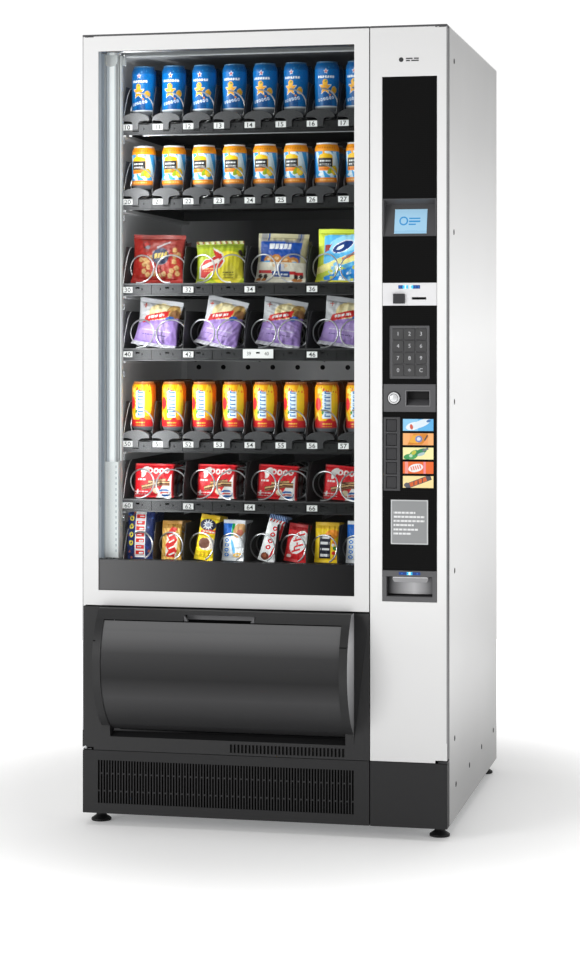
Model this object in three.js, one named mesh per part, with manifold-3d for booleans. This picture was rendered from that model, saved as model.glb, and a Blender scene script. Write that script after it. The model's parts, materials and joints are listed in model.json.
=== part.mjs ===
// A glass-front snack vending machine: cabinet, glass door with a curved delivery flap, control
// column door, and seven spiral trays. Millimetres, +Z up, the front faces -Y.
// The pieces are drawn with the front face plane at y = 0 and the floor at z = 0. The finished
// group is then moved along Y, so that the origin is under the middle of the whole machine.

import * as THREE from "three";
import { mergeVertices } from "three/addons/utils/BufferGeometryUtils.js";
import Module from "manifold-3d";

const wasm = await Module();
wasm.setup();

// ---- driving dimensions -------------------------------------------------------------------

const WIDTH = 853;
const DEPTH = 870;
const HEIGHT = 1830;
const FOOT_HEIGHT = 28;
const PLINTH_TOP = 174;
const DOOR_BOTTOM = 175;
const DOOR_THICKNESS = 30;
const CABINET_FRONT = 34;
const SPLIT_X = 250;
const DOOR_GAP = 0.9;
const SHEET = 2;
const FIT = 0.3;

const SIDE_X = WIDTH / 2;
const FRONT_DOOR_X = [-SIDE_X, SPLIT_X - DOOR_GAP];
const COLUMN_X = [SPLIT_X + DOOR_GAP, SIDE_X];

const PIVOT_INSET = 8;
const PIVOT_Y = 14;
const PIVOT_RADIUS = 4;
const PIVOT_BORE_RADIUS = 4.6;
const PIVOT_NOTCH = { width: 27, height: 6 };

const WINDOW = { x: [-388, 214.7], z: [544.5, 1790.5] };
const BAND_TOP = 615;
const FRAME_BOTTOM = 509.8;
const REBATE = 6;

// The flap, its hood and the bin are drums round one axis along X.
const FLAP_AXIS = { y: 100, z: 380 };
const HOOD_RADIUS = 180;
const FLAP_RADIUS = 178;
const BIN_RADIUS = 171;
const FLAP_X = [-359.2, 194.2];
const CHEEK = 19.5;
const HOOD_BOTTOM_Z = 483.5;
const FLAP_TOP_ANGLE = 34.6;
const FLAP_BOTTOM_ANGLE = -61.5;
const SURROUND_TOP = 506.5;
const BIN_BACK_Y = 197;
const BIN_TOP_Z = 478;
const GUARD_HINGE = { y: 188, z: 472 };

const CELL_X = [-400, 221];
const CELL_Z = [196, 1800];
const CELL_BACK_Y = 766;
const WALL = 14;

const TRAY_TOPS = [1641, 1462, 1256, 1101, 884, 741, 593];
const TRAY_LANES = [8, 8, 4, 4, 8, 4, 8];
const TRAY_X = [-387.5, 213.5];
const TRAY_Y = [186, 742];
const TRAY_LIP = 25;
const DIVIDER = { thick: 1.6, upright: 30, height: 92, slope: 29 };
const MOTOR_RAIL_HEIGHT = 62;
const SPIRAL_TRAY = 2;
const SPIRAL = {
  radius: 33.5, wire: 2, turns: 8, y: [192, 694], rise: 37.5, spread: 36.5, steps: 13, start: -100,
};

const INSERT = { x: [279, 403], z: [605.3, 1714.5] };
const OPENING_Z = [535, 1714.8];
const KEYPAD = { x: [296, 386.3], z: [1036, 1155], columns: 3, rows: 4 };
const SELECTOR = { x: [281, 319.7], z: [783.8, 949.7], count: 5, pitch: 32 };
const COIN_CUP = { x: [279.3, 402.7], z: [535.3, 604.9], depth: 58 };

const GRILLE_SLOTS = { count: 45, width: 6.8, z: [52, 151.5] };
const SIDE_HOLES = [
  [105, 1759], [101, 1369], [109, 982], [112, 596], [113, 213],
  [357.5, 106], [134, 104], [575, 111], [802.5, 113],
];

// ---- finishes -----------------------------------------------------------------------------

const finish = (color, roughness, metalness = 0) =>
  new THREE.MeshStandardMaterial({ color, roughness, metalness });

const WHITE_PAINT = finish(0xf2f2f0, 0.35);
const DARK_PAINT = finish(0x3a3b3d, 0.45);
const BLACK_GLOSS = finish(0x101113, 0.15);
const DARK_PLASTIC = finish(0x4a4b4e, 0.5);
const GREY_PLASTIC = finish(0x8f9296, 0.45);
const LIGHT_PLASTIC = finish(0xd5d7d9, 0.4);
const BLACK_PLASTIC = finish(0x161616, 0.6);
const LINER = finish(0x2a2c2f, 0.6);
const GLASS = finish(0xdfe8ea, 0.05);
const ZINC = finish(0xa9adb0, 0.4, 0.9);
const CHROME = finish(0xd8dadc, 0.15, 1);
const TRAY_PAINT = finish(0x232426, 0.5);
const LAMP_WHITE = finish(0xf7fbff, 0.3);

// ---- shape helpers ------------------------------------------------------------------------

const rad = THREE.MathUtils.degToRad;

function solidOf(geometry) {
  const bare = geometry.index ? geometry.toNonIndexed() : geometry.clone();
  bare.deleteAttribute("normal");
  bare.deleteAttribute("uv");
  const merged = mergeVertices(bare, 1e-4);
  return new wasm.Manifold(new wasm.Mesh({
    numProp: 3,
    vertProperties: new Float32Array(merged.attributes.position.array),
    triVerts: new Uint32Array(merged.index.array),
  }));
}

function geometryOf(solid) {
  const mesh = solid.getMesh();
  const geometry = new THREE.BufferGeometry();
  geometry.setAttribute("position", new THREE.BufferAttribute(mesh.vertProperties, 3));
  geometry.setIndex(new THREE.BufferAttribute(mesh.triVerts, 1));
  geometry.computeVertexNormals();
  return geometry;
}

const middle = ([low, high]) => (low + high) / 2;
const span = ([low, high]) => high - low;
const inset = ([low, high], by) => [low + by, high - by];

function block(x, y, z) {
  const geometry = new THREE.BoxGeometry(span(x), span(y), span(z));
  return solidOf(geometry.translate(middle(x), middle(y), middle(z)));
}

// Extrudes an outline of (y, z) points along X, from x[0] to x[1].
function extrudeX(points, x) {
  const shape = new THREE.Shape(points.map(([y, z]) => new THREE.Vector2(y, z)));
  const geometry = new THREE.ExtrudeGeometry(shape, { depth: span(x), bevelEnabled: false });
  const turn = new THREE.Matrix4().makeBasis(
    new THREE.Vector3(0, 1, 0), new THREE.Vector3(0, 0, 1), new THREE.Vector3(1, 0, 0));
  return solidOf(geometry.applyMatrix4(turn).translate(x[0], 0, 0));
}

// A rod along the X, Y or Z axis from one point, with the given length.
function rod(axis, [x, y, z], radius, length, segments = 12) {
  const geometry = new THREE.CylinderGeometry(radius, radius, length, segments);
  geometry.translate(0, length / 2, 0);
  if (axis === "x") geometry.rotateZ(-Math.PI / 2);
  if (axis === "z") geometry.rotateX(Math.PI / 2);
  return solidOf(geometry.translate(x, y, z));
}

// Points (y, z) on a drum round the flap axis; 0 degrees faces the front, + is upwards.
function drumArc(radius, fromAngle, toAngle, steps) {
  return Array.from({ length: steps + 1 }, (_, i) => {
    const angle = rad(fromAngle + ((toAngle - fromAngle) * i) / steps);
    return [FLAP_AXIS.y - radius * Math.cos(angle), FLAP_AXIS.z + radius * Math.sin(angle)];
  });
}

const angleAtHeight = (radius, z) =>
  THREE.MathUtils.radToDeg(Math.asin((z - FLAP_AXIS.z) / radius));

const joined = (solids) => solids.reduce((total, solid) => total.add(solid));
const cut = (solid, tools) => tools.reduce((left, tool) => left.subtract(tool), solid);

function piece(name, solid, material) {
  const mesh = new THREE.Mesh(geometryOf(solid), material);
  mesh.name = name;
  return mesh;
}

function group(...meshes) {
  const result = new THREE.Group();
  result.add(...meshes.flat());
  return result;
}

// ---- cabinet ------------------------------------------------------------------------------

function sidePanel(side) {
  const skin = side > 0 ? [SIDE_X - SHEET, SIDE_X] : [-SIDE_X, -SIDE_X + SHEET];
  const flange = side > 0 ? [SIDE_X - 22, SIDE_X] : [-SIDE_X, -SIDE_X + 22];
  const panel = block(skin, [CABINET_FRONT, DEPTH], [FOOT_HEIGHT, HEIGHT - 2.8])
    .add(block(flange, [CABINET_FRONT, CABINET_FRONT + SHEET], [FOOT_HEIGHT, HEIGHT - 2.8]));
  const holes = side > 0 ? SIDE_HOLES : [];
  return cut(panel, holes.map(([y, z]) => rod("x", [skin[0] - 2, y, z], 5, 6)));
}

function topPanel() {
  const skin = block([-SIDE_X, SIDE_X], [CABINET_FRONT, DEPTH], [HEIGHT - 2.5, HEIGHT]);
  const lip = block(inset([-SIDE_X, SIDE_X], 23), [CABINET_FRONT, 36], [HEIGHT - 5.5, HEIGHT]);
  return skin.add(lip);
}

function rearPanel() {
  const plate = block(inset([-SIDE_X, SIDE_X], 2.5), [DEPTH - 2.5, DEPTH], [60, HEIGHT - 3]);
  const vents = [];
  for (let row = 0; row < 6; row += 1) {
    const z = 96 + row * 16;
    vents.push(block([-300, -40], [DEPTH - 5, DEPTH + 2], [z, z + 6]));
    vents.push(block([40, 300], [DEPTH - 5, DEPTH + 2], [z, z + 6]));
  }
  return cut(plate, vents);
}

function baseFrame() {
  const x = inset([-SIDE_X, SIDE_X], 2.6);
  const tray = block(x, [36.4, 867], [FOOT_HEIGHT, 59]);
  return tray.subtract(block(inset(x, 2.5), [39, 864.5], [31, 62]));
}

function foot() {
  const profile = [[0, 0], [23.5, 0], [23.5, 5], [13, 12], [11, 16], [11, 27.7], [0, 27.7]];
  const points = profile.map(([radius, z]) => new THREE.Vector2(radius, z));
  return solidOf(new THREE.LatheGeometry(points, 20).rotateX(Math.PI / 2));
}

function feet() {
  const places = [
    ["foot_front_left", -400, 62], ["foot_front_right", 400, 62],
    ["foot_rear_left", -400, 812], ["foot_rear_right", 400, 812],
  ];
  return places.map(([name, x, y]) => {
    const mesh = piece(name, foot(), BLACK_PLASTIC);
    mesh.position.set(x, y, 0);
    return mesh;
  });
}

function cellLiner() {
  const outer = block([CELL_X[0] - WALL + 0.5, CELL_X[1] + WALL],
    [38, CELL_BACK_Y + WALL], [CELL_Z[0] - 20, CELL_Z[1] + WALL]);
  const runners = TRAY_TOPS.flatMap((top) => {
    const z = [top - TRAY_LIP - 8, top - TRAY_LIP - FIT];
    const y = [TRAY_Y[0] + 4, CELL_BACK_Y + 1];
    return [
      block([CELL_X[0] - 1, TRAY_X[0] + 9], y, z),
      block([TRAY_X[1] - 4, CELL_X[1] + 1], y, z),
    ];
  });
  return joined([outer.subtract(block(CELL_X, [30, CELL_BACK_Y], CELL_Z)), ...runners]);
}

function plinthGrille() {
  const x = [-SIDE_X, SPLIT_X - DOOR_GAP];
  const plate = block(x, [0, DOOR_THICKNESS], [FOOT_HEIGHT, PLINTH_TOP])
    .subtract(block(inset(x, 2), [2.5, 40], inset([FOOT_HEIGHT, PLINTH_TOP], 2)));
  const first = WINDOW.x[0] - 1;
  const pitch = (213.8 - GRILLE_SLOTS.width - first) / (GRILLE_SLOTS.count - 1);
  const slots = Array.from({ length: GRILLE_SLOTS.count }, (_, i) => {
    const left = first + i * pitch;
    return block([left, left + GRILLE_SLOTS.width], [-2, 6], GRILLE_SLOTS.z);
  });
  return cut(plate, slots);
}

function columnPlinth() {
  const plate = block(COLUMN_X, [0, DOOR_THICKNESS], [FOOT_HEIGHT, PLINTH_TOP]);
  return plate.subtract(block(inset(COLUMN_X, 2), [2.5, 40], inset([FOOT_HEIGHT, PLINTH_TOP], 2)));
}

// A strip behind the door edge, with a plate and a pin above and below the door's corners.
function hingePost(side) {
  const x = (low, high) => (side > 0 ? [low, high] : [-high, -low]);
  const axisX = side * (SIDE_X - PIVOT_INSET);
  const plateX = x(SIDE_X - 21, SIDE_X - 0.4);
  const rear = 33.7;
  const lowerTop = PLINTH_TOP + 3;
  const upperBottom = HEIGHT - 3.5;
  return joined([
    block(plateX, [32.3, rear], [PLINTH_TOP + FIT, HEIGHT - 0.5]),
    block(plateX, [5, rear], [PLINTH_TOP + FIT, lowerTop]),
    block(plateX, [5, rear], [upperBottom, HEIGHT - 0.5]),
    rod("z", [axisX, PIVOT_Y, lowerTop - 1], PIVOT_RADIUS, 16),
    rod("z", [axisX, PIVOT_Y, upperBottom - 15], PIVOT_RADIUS, 16),
  ]);
}

function coolingUnit() {
  const floor = 32;
  return joined([
    block([-340, 180], [60, 560], [floor, floor + 4]),
    block([-320, -90], [70, 120], [floor + 3, 158]),
    block([-320, -90], [420, 500], [floor + 3, 158]),
    rod("z", [30, 300, floor + 3], 75, 108, 20),
    rod("x", [-100, 300, 120], 8, 80, 10),
    block([-100, -84], [100, 440], [112, 128]),
  ]);
}

function cabinet() {
  return group(
    piece("left_side_panel", sidePanel(-1), WHITE_PAINT),
    piece("right_side_panel", sidePanel(1), WHITE_PAINT),
    piece("top_panel", topPanel(), WHITE_PAINT),
    piece("rear_panel", rearPanel(), ZINC),
    piece("base_frame", baseFrame(), ZINC),
    feet(),
    piece("cell_liner", cellLiner(), LINER),
    piece("plinth_grille", plinthGrille(), DARK_PAINT),
    piece("column_plinth", columnPlinth(), DARK_PAINT),
    piece("front_door_hinge_post", hingePost(-1), WHITE_PAINT),
    piece("column_door_hinge_post", hingePost(1), WHITE_PAINT),
    piece("cooling_unit", coolingUnit(), BLACK_PLASTIC),
  );
}

// ---- glass door ---------------------------------------------------------------------------

// A folded pan, open to the rear, with a notch and a bore where the hinge pin enters.
function pan(x, z, side, notches) {
  const outerX = side > 0 ? x[1] : x[0];
  const noseX = (grow) => (side > 0
    ? [outerX - PIVOT_NOTCH.width - grow, outerX + 5]
    : [outerX - 5, outerX + PIVOT_NOTCH.width + grow]);
  let outer = block(x, [0, DOOR_THICKNESS], z);
  let pocket = block(inset(x, SHEET), [SHEET, DOOR_THICKNESS + 5], inset(z, SHEET));
  const bores = [];
  for (const end of notches) {
    const height = PIVOT_NOTCH.height;
    const zAt = (grow) => (end > 0 ? [z[1] - height - grow, z[1] + 5] : [z[0] - 5, z[0] + height + grow]);
    outer = outer.subtract(block(noseX(0), [-5, DOOR_THICKNESS + 5], zAt(0)));
    pocket = pocket.subtract(block(noseX(SHEET), [-5, DOOR_THICKNESS + 9], zAt(SHEET)));
    const axisX = outerX - Math.sign(side) * PIVOT_INSET;
    const boreZ = end > 0 ? z[1] - 18 : z[0];
    bores.push(rod("z", [axisX, PIVOT_Y, boreZ], PIVOT_BORE_RADIUS, 18));
  }
  return cut(outer, [pocket, ...bores]);
}

function doorFrame() {
  const frame = pan(FRONT_DOOR_X, [FRAME_BOTTOM, HEIGHT], -1, [1]);
  const outX = [WINDOW.x[0] - REBATE - SHEET, WINDOW.x[1] + REBATE + SHEET];
  const outZ = [WINDOW.z[0] - REBATE - SHEET, WINDOW.z[1] + REBATE + SHEET];
  const lining = block(outX, [0.5, DOOR_THICKNESS], outZ)
    .subtract(block(inset(outX, SHEET), [SHEET, 40], inset(outZ, SHEET)));
  return frame.add(lining).subtract(block(WINDOW.x, [-5, 50], WINDOW.z));
}

function doorGlass() {
  const x = inset(WINDOW.x, -(REBATE - FIT));
  return block(x, [3, 7], [BAND_TOP + FIT, WINDOW.z[1] + REBATE - FIT]);
}

function bandPanel() {
  const x = inset(WINDOW.x, -(REBATE - FIT));
  const z = [WINDOW.z[0] - REBATE + FIT, BAND_TOP];
  return block(x, [3, 26], z).subtract(block(inset(x, 3), [6, 30], inset(z, 3)));
}

function doorLamp() {
  const x = -368;
  return joined([
    rod("z", [x, 50, 690], 10, 1095),
    block([x - 12, x + 12], [38, 44], [685, 1792]),
    block([x - 11, x + 11], [40, 61], [684, 694]),
    block([x - 11, x + 11], [40, 61], [1783, 1793]),
  ]);
}

function deliverySurround() {
  const x = FRONT_DOOR_X;
  const z = [DOOR_BOTTOM, SURROUND_TOP];
  const cheekX = [[FLAP_X[0] - CHEEK, FLAP_X[0] - FIT], [FLAP_X[1] + FIT, FLAP_X[1] + CHEEK]];
  const plate = pan(x, z, -1, [-1]);
  const mouth = extrudeX([[-5, 203.4], [26, 216], [40, 216], [40, 600], [-5, 600]],
    [cheekX[0][0], cheekX[1][1]]);
  const hoodFront = drumArc(HOOD_RADIUS, angleAtHeight(HOOD_RADIUS, SURROUND_TOP),
    angleAtHeight(HOOD_RADIUS, 233), 16);
  const cheek = [...hoodFront, [0, 207], [26, 216.5], [DOOR_THICKNESS, 216.5],
    [DOOR_THICKNESS, SURROUND_TOP]];
  const hoodOuter = drumArc(HOOD_RADIUS, angleAtHeight(HOOD_RADIUS, SURROUND_TOP),
    angleAtHeight(HOOD_RADIUS, HOOD_BOTTOM_Z), 4);
  const hoodInner = drumArc(HOOD_RADIUS - 4, angleAtHeight(HOOD_RADIUS - 4, HOOD_BOTTOM_Z),
    angleAtHeight(HOOD_RADIUS - 4, SURROUND_TOP - 3), 4);
  const hood = [...hoodOuter, ...hoodInner, [DOOR_THICKNESS, SURROUND_TOP - 3],
    [DOOR_THICKNESS, SURROUND_TOP]];
  const sill = [[0, 190], [0, 207], [24, 215.8], [DOOR_THICKNESS, 215.8], [DOOR_THICKNESS, 190]];
  const bracket = (bx) => block(bx, [26, 114], [366, 394]);
  const bore = rod("x", [-380, FLAP_AXIS.y, FLAP_AXIS.z], 5.6, 600);
  const finger = block([-172, -6], [-70, -12], [HOOD_BOTTOM_Z - 2, 497]);
  const vents = Array.from({ length: 16 }, (_, i) => {
    const left = -74 + i * 17.4;
    return block([left, left + 5], [-3, 6], [180, 188.5]);
  });
  const body = joined([
    plate.subtract(mouth),
    ...cheekX.map((range) => extrudeX(cheek, range)),
    extrudeX(hood, [cheekX[0][0] + 1, cheekX[1][1] - 1]),
    extrudeX(sill, [cheekX[0][0] - 1, cheekX[1][1] + 1]),
    bracket([cheekX[0][0], cheekX[0][0] + 14]),
    bracket([cheekX[1][1] - 14, cheekX[1][1]]),
  ]);
  return cut(body, [bore, finger, ...vents]);
}

function deliveryFlap() {
  const outer = drumArc(FLAP_RADIUS, FLAP_TOP_ANGLE, FLAP_BOTTOM_ANGLE, 12);
  const inner = drumArc(FLAP_RADIUS - 3, FLAP_BOTTOM_ANGLE, FLAP_TOP_ANGLE, 12);
  const hub = drumArc(14, FLAP_BOTTOM_ANGLE - 60, FLAP_TOP_ANGLE + 60 - 360, 6);
  const web = [...outer, ...hub];
  return joined([
    extrudeX([...outer, ...inner], FLAP_X),
    extrudeX(web, [FLAP_X[0], FLAP_X[0] + 2.5]),
    extrudeX(web, [FLAP_X[1] - 2.5, FLAP_X[1]]),
    rod("x", [FLAP_X[0] - 14, FLAP_AXIS.y, FLAP_AXIS.z], 5, 15),
    rod("x", [FLAP_X[1] - 1, FLAP_AXIS.y, FLAP_AXIS.z], 5, 15),
  ]);
}

function deliveryBin() {
  const x = [FLAP_X[0] + 5.5, FLAP_X[1] - 5.5];
  const backAngle = -180 + THREE.MathUtils.radToDeg(
    Math.acos((BIN_BACK_Y - FLAP_AXIS.y) / BIN_RADIUS));
  const innerBackAngle = -180 + THREE.MathUtils.radToDeg(
    Math.acos((BIN_BACK_Y - 2.5 - FLAP_AXIS.y) / (BIN_RADIUS - 2.5)));
  const trough = drumArc(BIN_RADIUS, -18, backAngle, 9);
  const floor = drumArc(BIN_RADIUS - 2.5, innerBackAngle, -18, 9);
  const end = [...trough, [BIN_BACK_Y, BIN_TOP_Z], [20, BIN_TOP_Z]];
  const hanger = (hx) => block(hx, [30.4, 118], [BIN_TOP_Z - 3, BIN_TOP_Z]);
  return joined([
    extrudeX([...trough, [BIN_BACK_Y, BIN_TOP_Z], [BIN_BACK_Y - 2.5, BIN_TOP_Z], ...floor], x),
    extrudeX(end, [x[0], x[0] + 2.5]),
    extrudeX(end, [x[1] - 2.5, x[1]]),
    hanger([x[0] - 24, x[0] + 1]),
    hanger([x[1] - 1, x[1] + 20]),
  ]);
}

function theftGuard() {
  const x = [FLAP_X[0] + 9, FLAP_X[1] - 9];
  const { y, z } = GUARD_HINGE;
  return block(x, [y - 1, y + 1], [z - 140, z])
    .add(rod("x", [x[0], y, z], 3.2, span(x)))
    .add(block(x, [y - 7, y + 1], [z - 140, z - 138]));
}

function frontDoor() {
  return group(
    piece("door_frame", doorFrame(), WHITE_PAINT),
    piece("door_glass", doorGlass(), GLASS),
    piece("band_panel", bandPanel(), DARK_PLASTIC),
    piece("door_lamp", doorLamp(), LAMP_WHITE),
    piece("delivery_surround", deliverySurround(), DARK_PLASTIC),
    piece("delivery_bin", deliveryBin(), BLACK_PLASTIC),
    piece("delivery_flap", deliveryFlap(), DARK_PLASTIC),
    piece("theft_guard", theftGuard(), ZINC),
  );
}

// ---- column door --------------------------------------------------------------------------

const INSERT_FACE_Y = 1;
const KEY_GAP = 0.6;
const keySize = [span(inset(KEYPAD.x, 6)) / KEYPAD.columns, span(inset(KEYPAD.z, 5)) / KEYPAD.rows];

function columnPanel() {
  return pan(COLUMN_X, [DOOR_BOTTOM, HEIGHT], 1, [-1, 1])
    .subtract(block(inset(INSERT.x, -0.3), [-5, 50], OPENING_Z));
}

// A module's body fills its cut-out, and a flange behind the fascia holds it.
function module(x, z, front, depth) {
  const body = block(inset(x, FIT), [front, depth], inset(z, FIT));
  const flangeX = [Math.max(x[0] - 3, INSERT.x[0] + 1), Math.min(x[1] + 3, INSERT.x[1] - 1)];
  return body.add(block(flangeX, [5.4, depth], inset(z, -3)));
}

const MODULES = {
  display: { x: [280, 402], z: [1355.8, 1440.7] },
  coinPlate: { x: [279.2, 402.8], z: [1200, 1251.4] },
  keypad: KEYPAD,
  lockPlate: { x: [281.5, 400.5], z: [961.3, 1024] },
  selector: { x: [281.5, 319.7], z: SELECTOR.z },
};

function fasciaInsert() {
  const face = block(inset(INSERT.x, FIT), [INSERT_FACE_Y, 5], inset(INSERT.z, FIT));
  const rim = block(inset(INSERT.x, -4), [2.4, 5], [INSERT.z[0] + FIT, INSERT.z[1] + 4]);
  const holes = Object.values(MODULES).map(({ x, z }) => block(x, [-5, 20], z));
  return cut(face.add(rim), holes);
}

function displayBezel() {
  const { x, z } = MODULES.display;
  const recess = [[-1, z[0] + 1.2], [1, z[0] + 1.2], [20, z[1] - 13], [0, z[1] - 1.5], [-1, z[1] - 1.5]];
  return module(x, z, 0.4, 26).subtract(extrudeX(recess, inset(x, 3)));
}

const COIN_BUTTON = { x: [303.6, 330.2], z: [1204.7, 1227] };

function coinPlate() {
  const { x, z } = MODULES.coinPlate;
  return cut(module(x, z, 0.2, 9), [
    block(COIN_BUTTON.x, [-5, 20], COIN_BUTTON.z),
    block([345.7, 378.8], [-5, 20], [1213.5, 1219]),
  ]);
}

function coinButton() {
  return block(inset(COIN_BUTTON.x, KEY_GAP), [-6, 8], inset(COIN_BUTTON.z, KEY_GAP));
}

const keyCell = (column, row) => {
  const left = KEYPAD.x[0] + 6 + column * keySize[0];
  const top = KEYPAD.z[1] - 5 - row * keySize[1];
  return { x: [left, left + keySize[0]], z: [top - keySize[1], top] };
};

function keypadFrame() {
  const holes = [];
  for (let row = 0; row < KEYPAD.rows; row += 1) {
    for (let column = 0; column < KEYPAD.columns; column += 1) {
      const cell = keyCell(column, row);
      holes.push(block(inset(cell.x, 0.7), [-5, 30], inset(cell.z, 0.7)));
    }
  }
  return cut(module(KEYPAD.x, KEYPAD.z, 0, 9), holes);
}

function keys() {
  const names = ["1", "2", "3", "4", "5", "6", "7", "8", "9", "0", "star", "clear"];
  return names.map((name, i) => {
    const cell = keyCell(i % KEYPAD.columns, Math.floor(i / KEYPAD.columns));
    const cap = block(inset(cell.x, 1.1), [-1.2, 7.5], inset(cell.z, 1.1));
    return piece(`key_${name}`, cap, GREY_PLASTIC);
  });
}

const LOCK = { x: 305.6, z: 992.4, radius: 13.6 };

function lockPlate() {
  const { x, z } = MODULES.lockPlate;
  const pocket = block([333.4, 386.3], [-5, 21], [975.8, 1008.2]);
  const bore = rod("y", [LOCK.x, -5, LOCK.z], LOCK.radius + 0.6, 60, 24);
  return cut(module(x, z, 0, 24), [pocket, bore]);
}

function lockCylinder() {
  const barrel = rod("y", [LOCK.x, -3, LOCK.z], LOCK.radius, 33, 24);
  const handle = block([LOCK.x - 3, LOCK.x + 3], [29, 34], [LOCK.z - 12, LOCK.z + 26]);
  return barrel.add(handle);
}

const selectorCell = (i) => {
  const top = 944.6 - i * SELECTOR.pitch;
  return { x: [287.1, 312.2], z: [top - 27.5, top] };
};

function selectorFrame() {
  const holes = Array.from({ length: SELECTOR.count }, (_, i) => {
    const cell = selectorCell(i);
    return block(cell.x, [-5, 30], cell.z);
  });
  return cut(module(MODULES.selector.x, MODULES.selector.z, 0, 10), holes);
}

function selectorButtons() {
  return Array.from({ length: SELECTOR.count }, (_, i) => {
    const cell = selectorCell(i);
    const cap = block(inset(cell.x, KEY_GAP), [2, 9], inset(cell.z, KEY_GAP));
    return piece(`select_button_${i + 1}`, cap, DARK_PLASTIC);
  });
}

const CUP_FLAP = { x: [289.3, 391.8], y: 13, z: 586, length: 34 };

function coinCup() {
  const { x, z, depth } = COIN_CUP;
  const mouth = [[-5, 546.6], [8, 546.6], [44, 551], [depth - 3, 566], [depth - 3, 591.3], [-5, 591.3]];
  return cut(block(x, [0.2, depth], z), [extrudeX(mouth, [288.3, 392.8])]);
}

function coinCupFlap() {
  const { x, y, z, length } = CUP_FLAP;
  return block(x, [y - 1, y + 1], [z - length, z]).add(rod("x", [x[0], y, z], 3, span(x)));
}

function columnDoor() {
  return group(
    piece("column_panel", columnPanel(), WHITE_PAINT),
    piece("fascia_insert", fasciaInsert(), BLACK_GLOSS),
    piece("display_bezel", displayBezel(), DARK_PLASTIC),
    piece("coin_plate", coinPlate(), LIGHT_PLASTIC),
    piece("coin_button", coinButton(), DARK_PLASTIC),
    piece("keypad_frame", keypadFrame(), GREY_PLASTIC),
    keys(),
    piece("lock_plate", lockPlate(), DARK_PLASTIC),
    piece("lock_cylinder", lockCylinder(), CHROME),
    piece("selector_frame", selectorFrame(), GREY_PLASTIC),
    selectorButtons(),
    piece("coin_cup", coinCup(), GREY_PLASTIC),
    piece("coin_cup_flap", coinCupFlap(), LIGHT_PLASTIC),
  );
}

// ---- trays and spirals --------------------------------------------------------------------

function tray(top, lanes) {
  const z = [top - TRAY_LIP, top];
  const pitch = span(TRAY_X) / lanes;
  const shelf = block(TRAY_X, TRAY_Y, z)
    .subtract(block(inset(TRAY_X, 1.5), inset(TRAY_Y, 1.5), [z[0] - 5, top - 1.5]));
  const front = TRAY_Y[0] + 2;
  const rear = TRAY_Y[1] - 2;
  const outline = [
    [front, top - 1], [front, top + DIVIDER.upright], [front + DIVIDER.slope, top + DIVIDER.height],
    [rear, top + DIVIDER.height], [rear, top - 1],
  ];
  const dividers = Array.from({ length: lanes + 1 }, (_, i) => {
    const x = TRAY_X[0] + (i * (span(TRAY_X) - DIVIDER.thick)) / lanes;
    return extrudeX(outline, [x, x + DIVIDER.thick]);
  });
  const rail = block(TRAY_X, [TRAY_Y[1] - 42, TRAY_Y[1]], [top - 1, top + MOTOR_RAIL_HEIGHT]);
  const couplings = Array.from({ length: lanes }, (_, i) => {
    const x = TRAY_X[0] + pitch * (i + 0.5);
    return block([x - 8, x + 8], [TRAY_Y[1] - 46, TRAY_Y[1] - 40], [top + 30, top + 46]);
  });
  return joined([shelf, ...dividers, rail, ...(lanes === 8 ? couplings : [])]);
}

class HelixCurve extends THREE.Curve {
  constructor(hand) {
    super();
    this.hand = hand;
  }

  getPoint(t) {
    const angle = rad(SPIRAL.start) + t * SPIRAL.turns * 2 * Math.PI;
    return new THREE.Vector3(
      this.hand * SPIRAL.radius * Math.cos(angle), t * span(SPIRAL.y),
      SPIRAL.radius * Math.sin(angle));
  }
}

// A wire spring-shaped feeder. It turns about its own middle line, and its rear end drives it.
function spiral(hand) {
  const ring = Array.from({ length: 6 }, (_, i) => {
    const angle = (i / 6) * 2 * Math.PI;
    return new THREE.Vector2(SPIRAL.wire * Math.cos(angle), SPIRAL.wire * Math.sin(angle));
  });
  const wire = new THREE.ExtrudeGeometry(new THREE.Shape(ring), {
    steps: SPIRAL.turns * SPIRAL.steps,
    extrudePath: new HelixCurve(hand),
    bevelEnabled: false,
  });
  const crank = block([-2, 2], [span(SPIRAL.y) - 2, span(SPIRAL.y) + 2], [-SPIRAL.radius + 1, 3])
    .rotate([0, hand * (SPIRAL.start + 90) * -1, 0]);
  return solidOf(wire).add(crank);
}

function spiralPair() {
  const laneWidth = span(TRAY_X) / TRAY_LANES[SPIRAL_TRAY];
  const laneMiddle = TRAY_X[0] + laneWidth / 2;
  const z = TRAY_TOPS[SPIRAL_TRAY] + SPIRAL.rise;
  return [["spiral_left", 1], ["spiral_right", -1]].map(([name, hand]) => {
    const mesh = piece(name, spiral(hand), CHROME);
    mesh.position.set(laneMiddle - hand * SPIRAL.spread, SPIRAL.y[0], z);
    return mesh;
  });
}

function productCell() {
  const trays = TRAY_TOPS.map((top, i) =>
    piece(`tray_${i + 1}`, tray(top, TRAY_LANES[i]), TRAY_PAINT));
  return group(trays, spiralPair());
}

// ---- the whole machine --------------------------------------------------------------------

const machine = new THREE.Group();
machine.add(cabinet(), frontDoor(), columnDoor(), productCell());
const bulge = HOOD_RADIUS - FLAP_AXIS.y;
machine.position.y = -(DEPTH - bulge) / 2;

export default machine;
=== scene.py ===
import json
import math

import bmesh
import bpy
import numpy as np
from mathutils import Matrix, Vector
from mathutils.bvhtree import BVHTree

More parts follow.
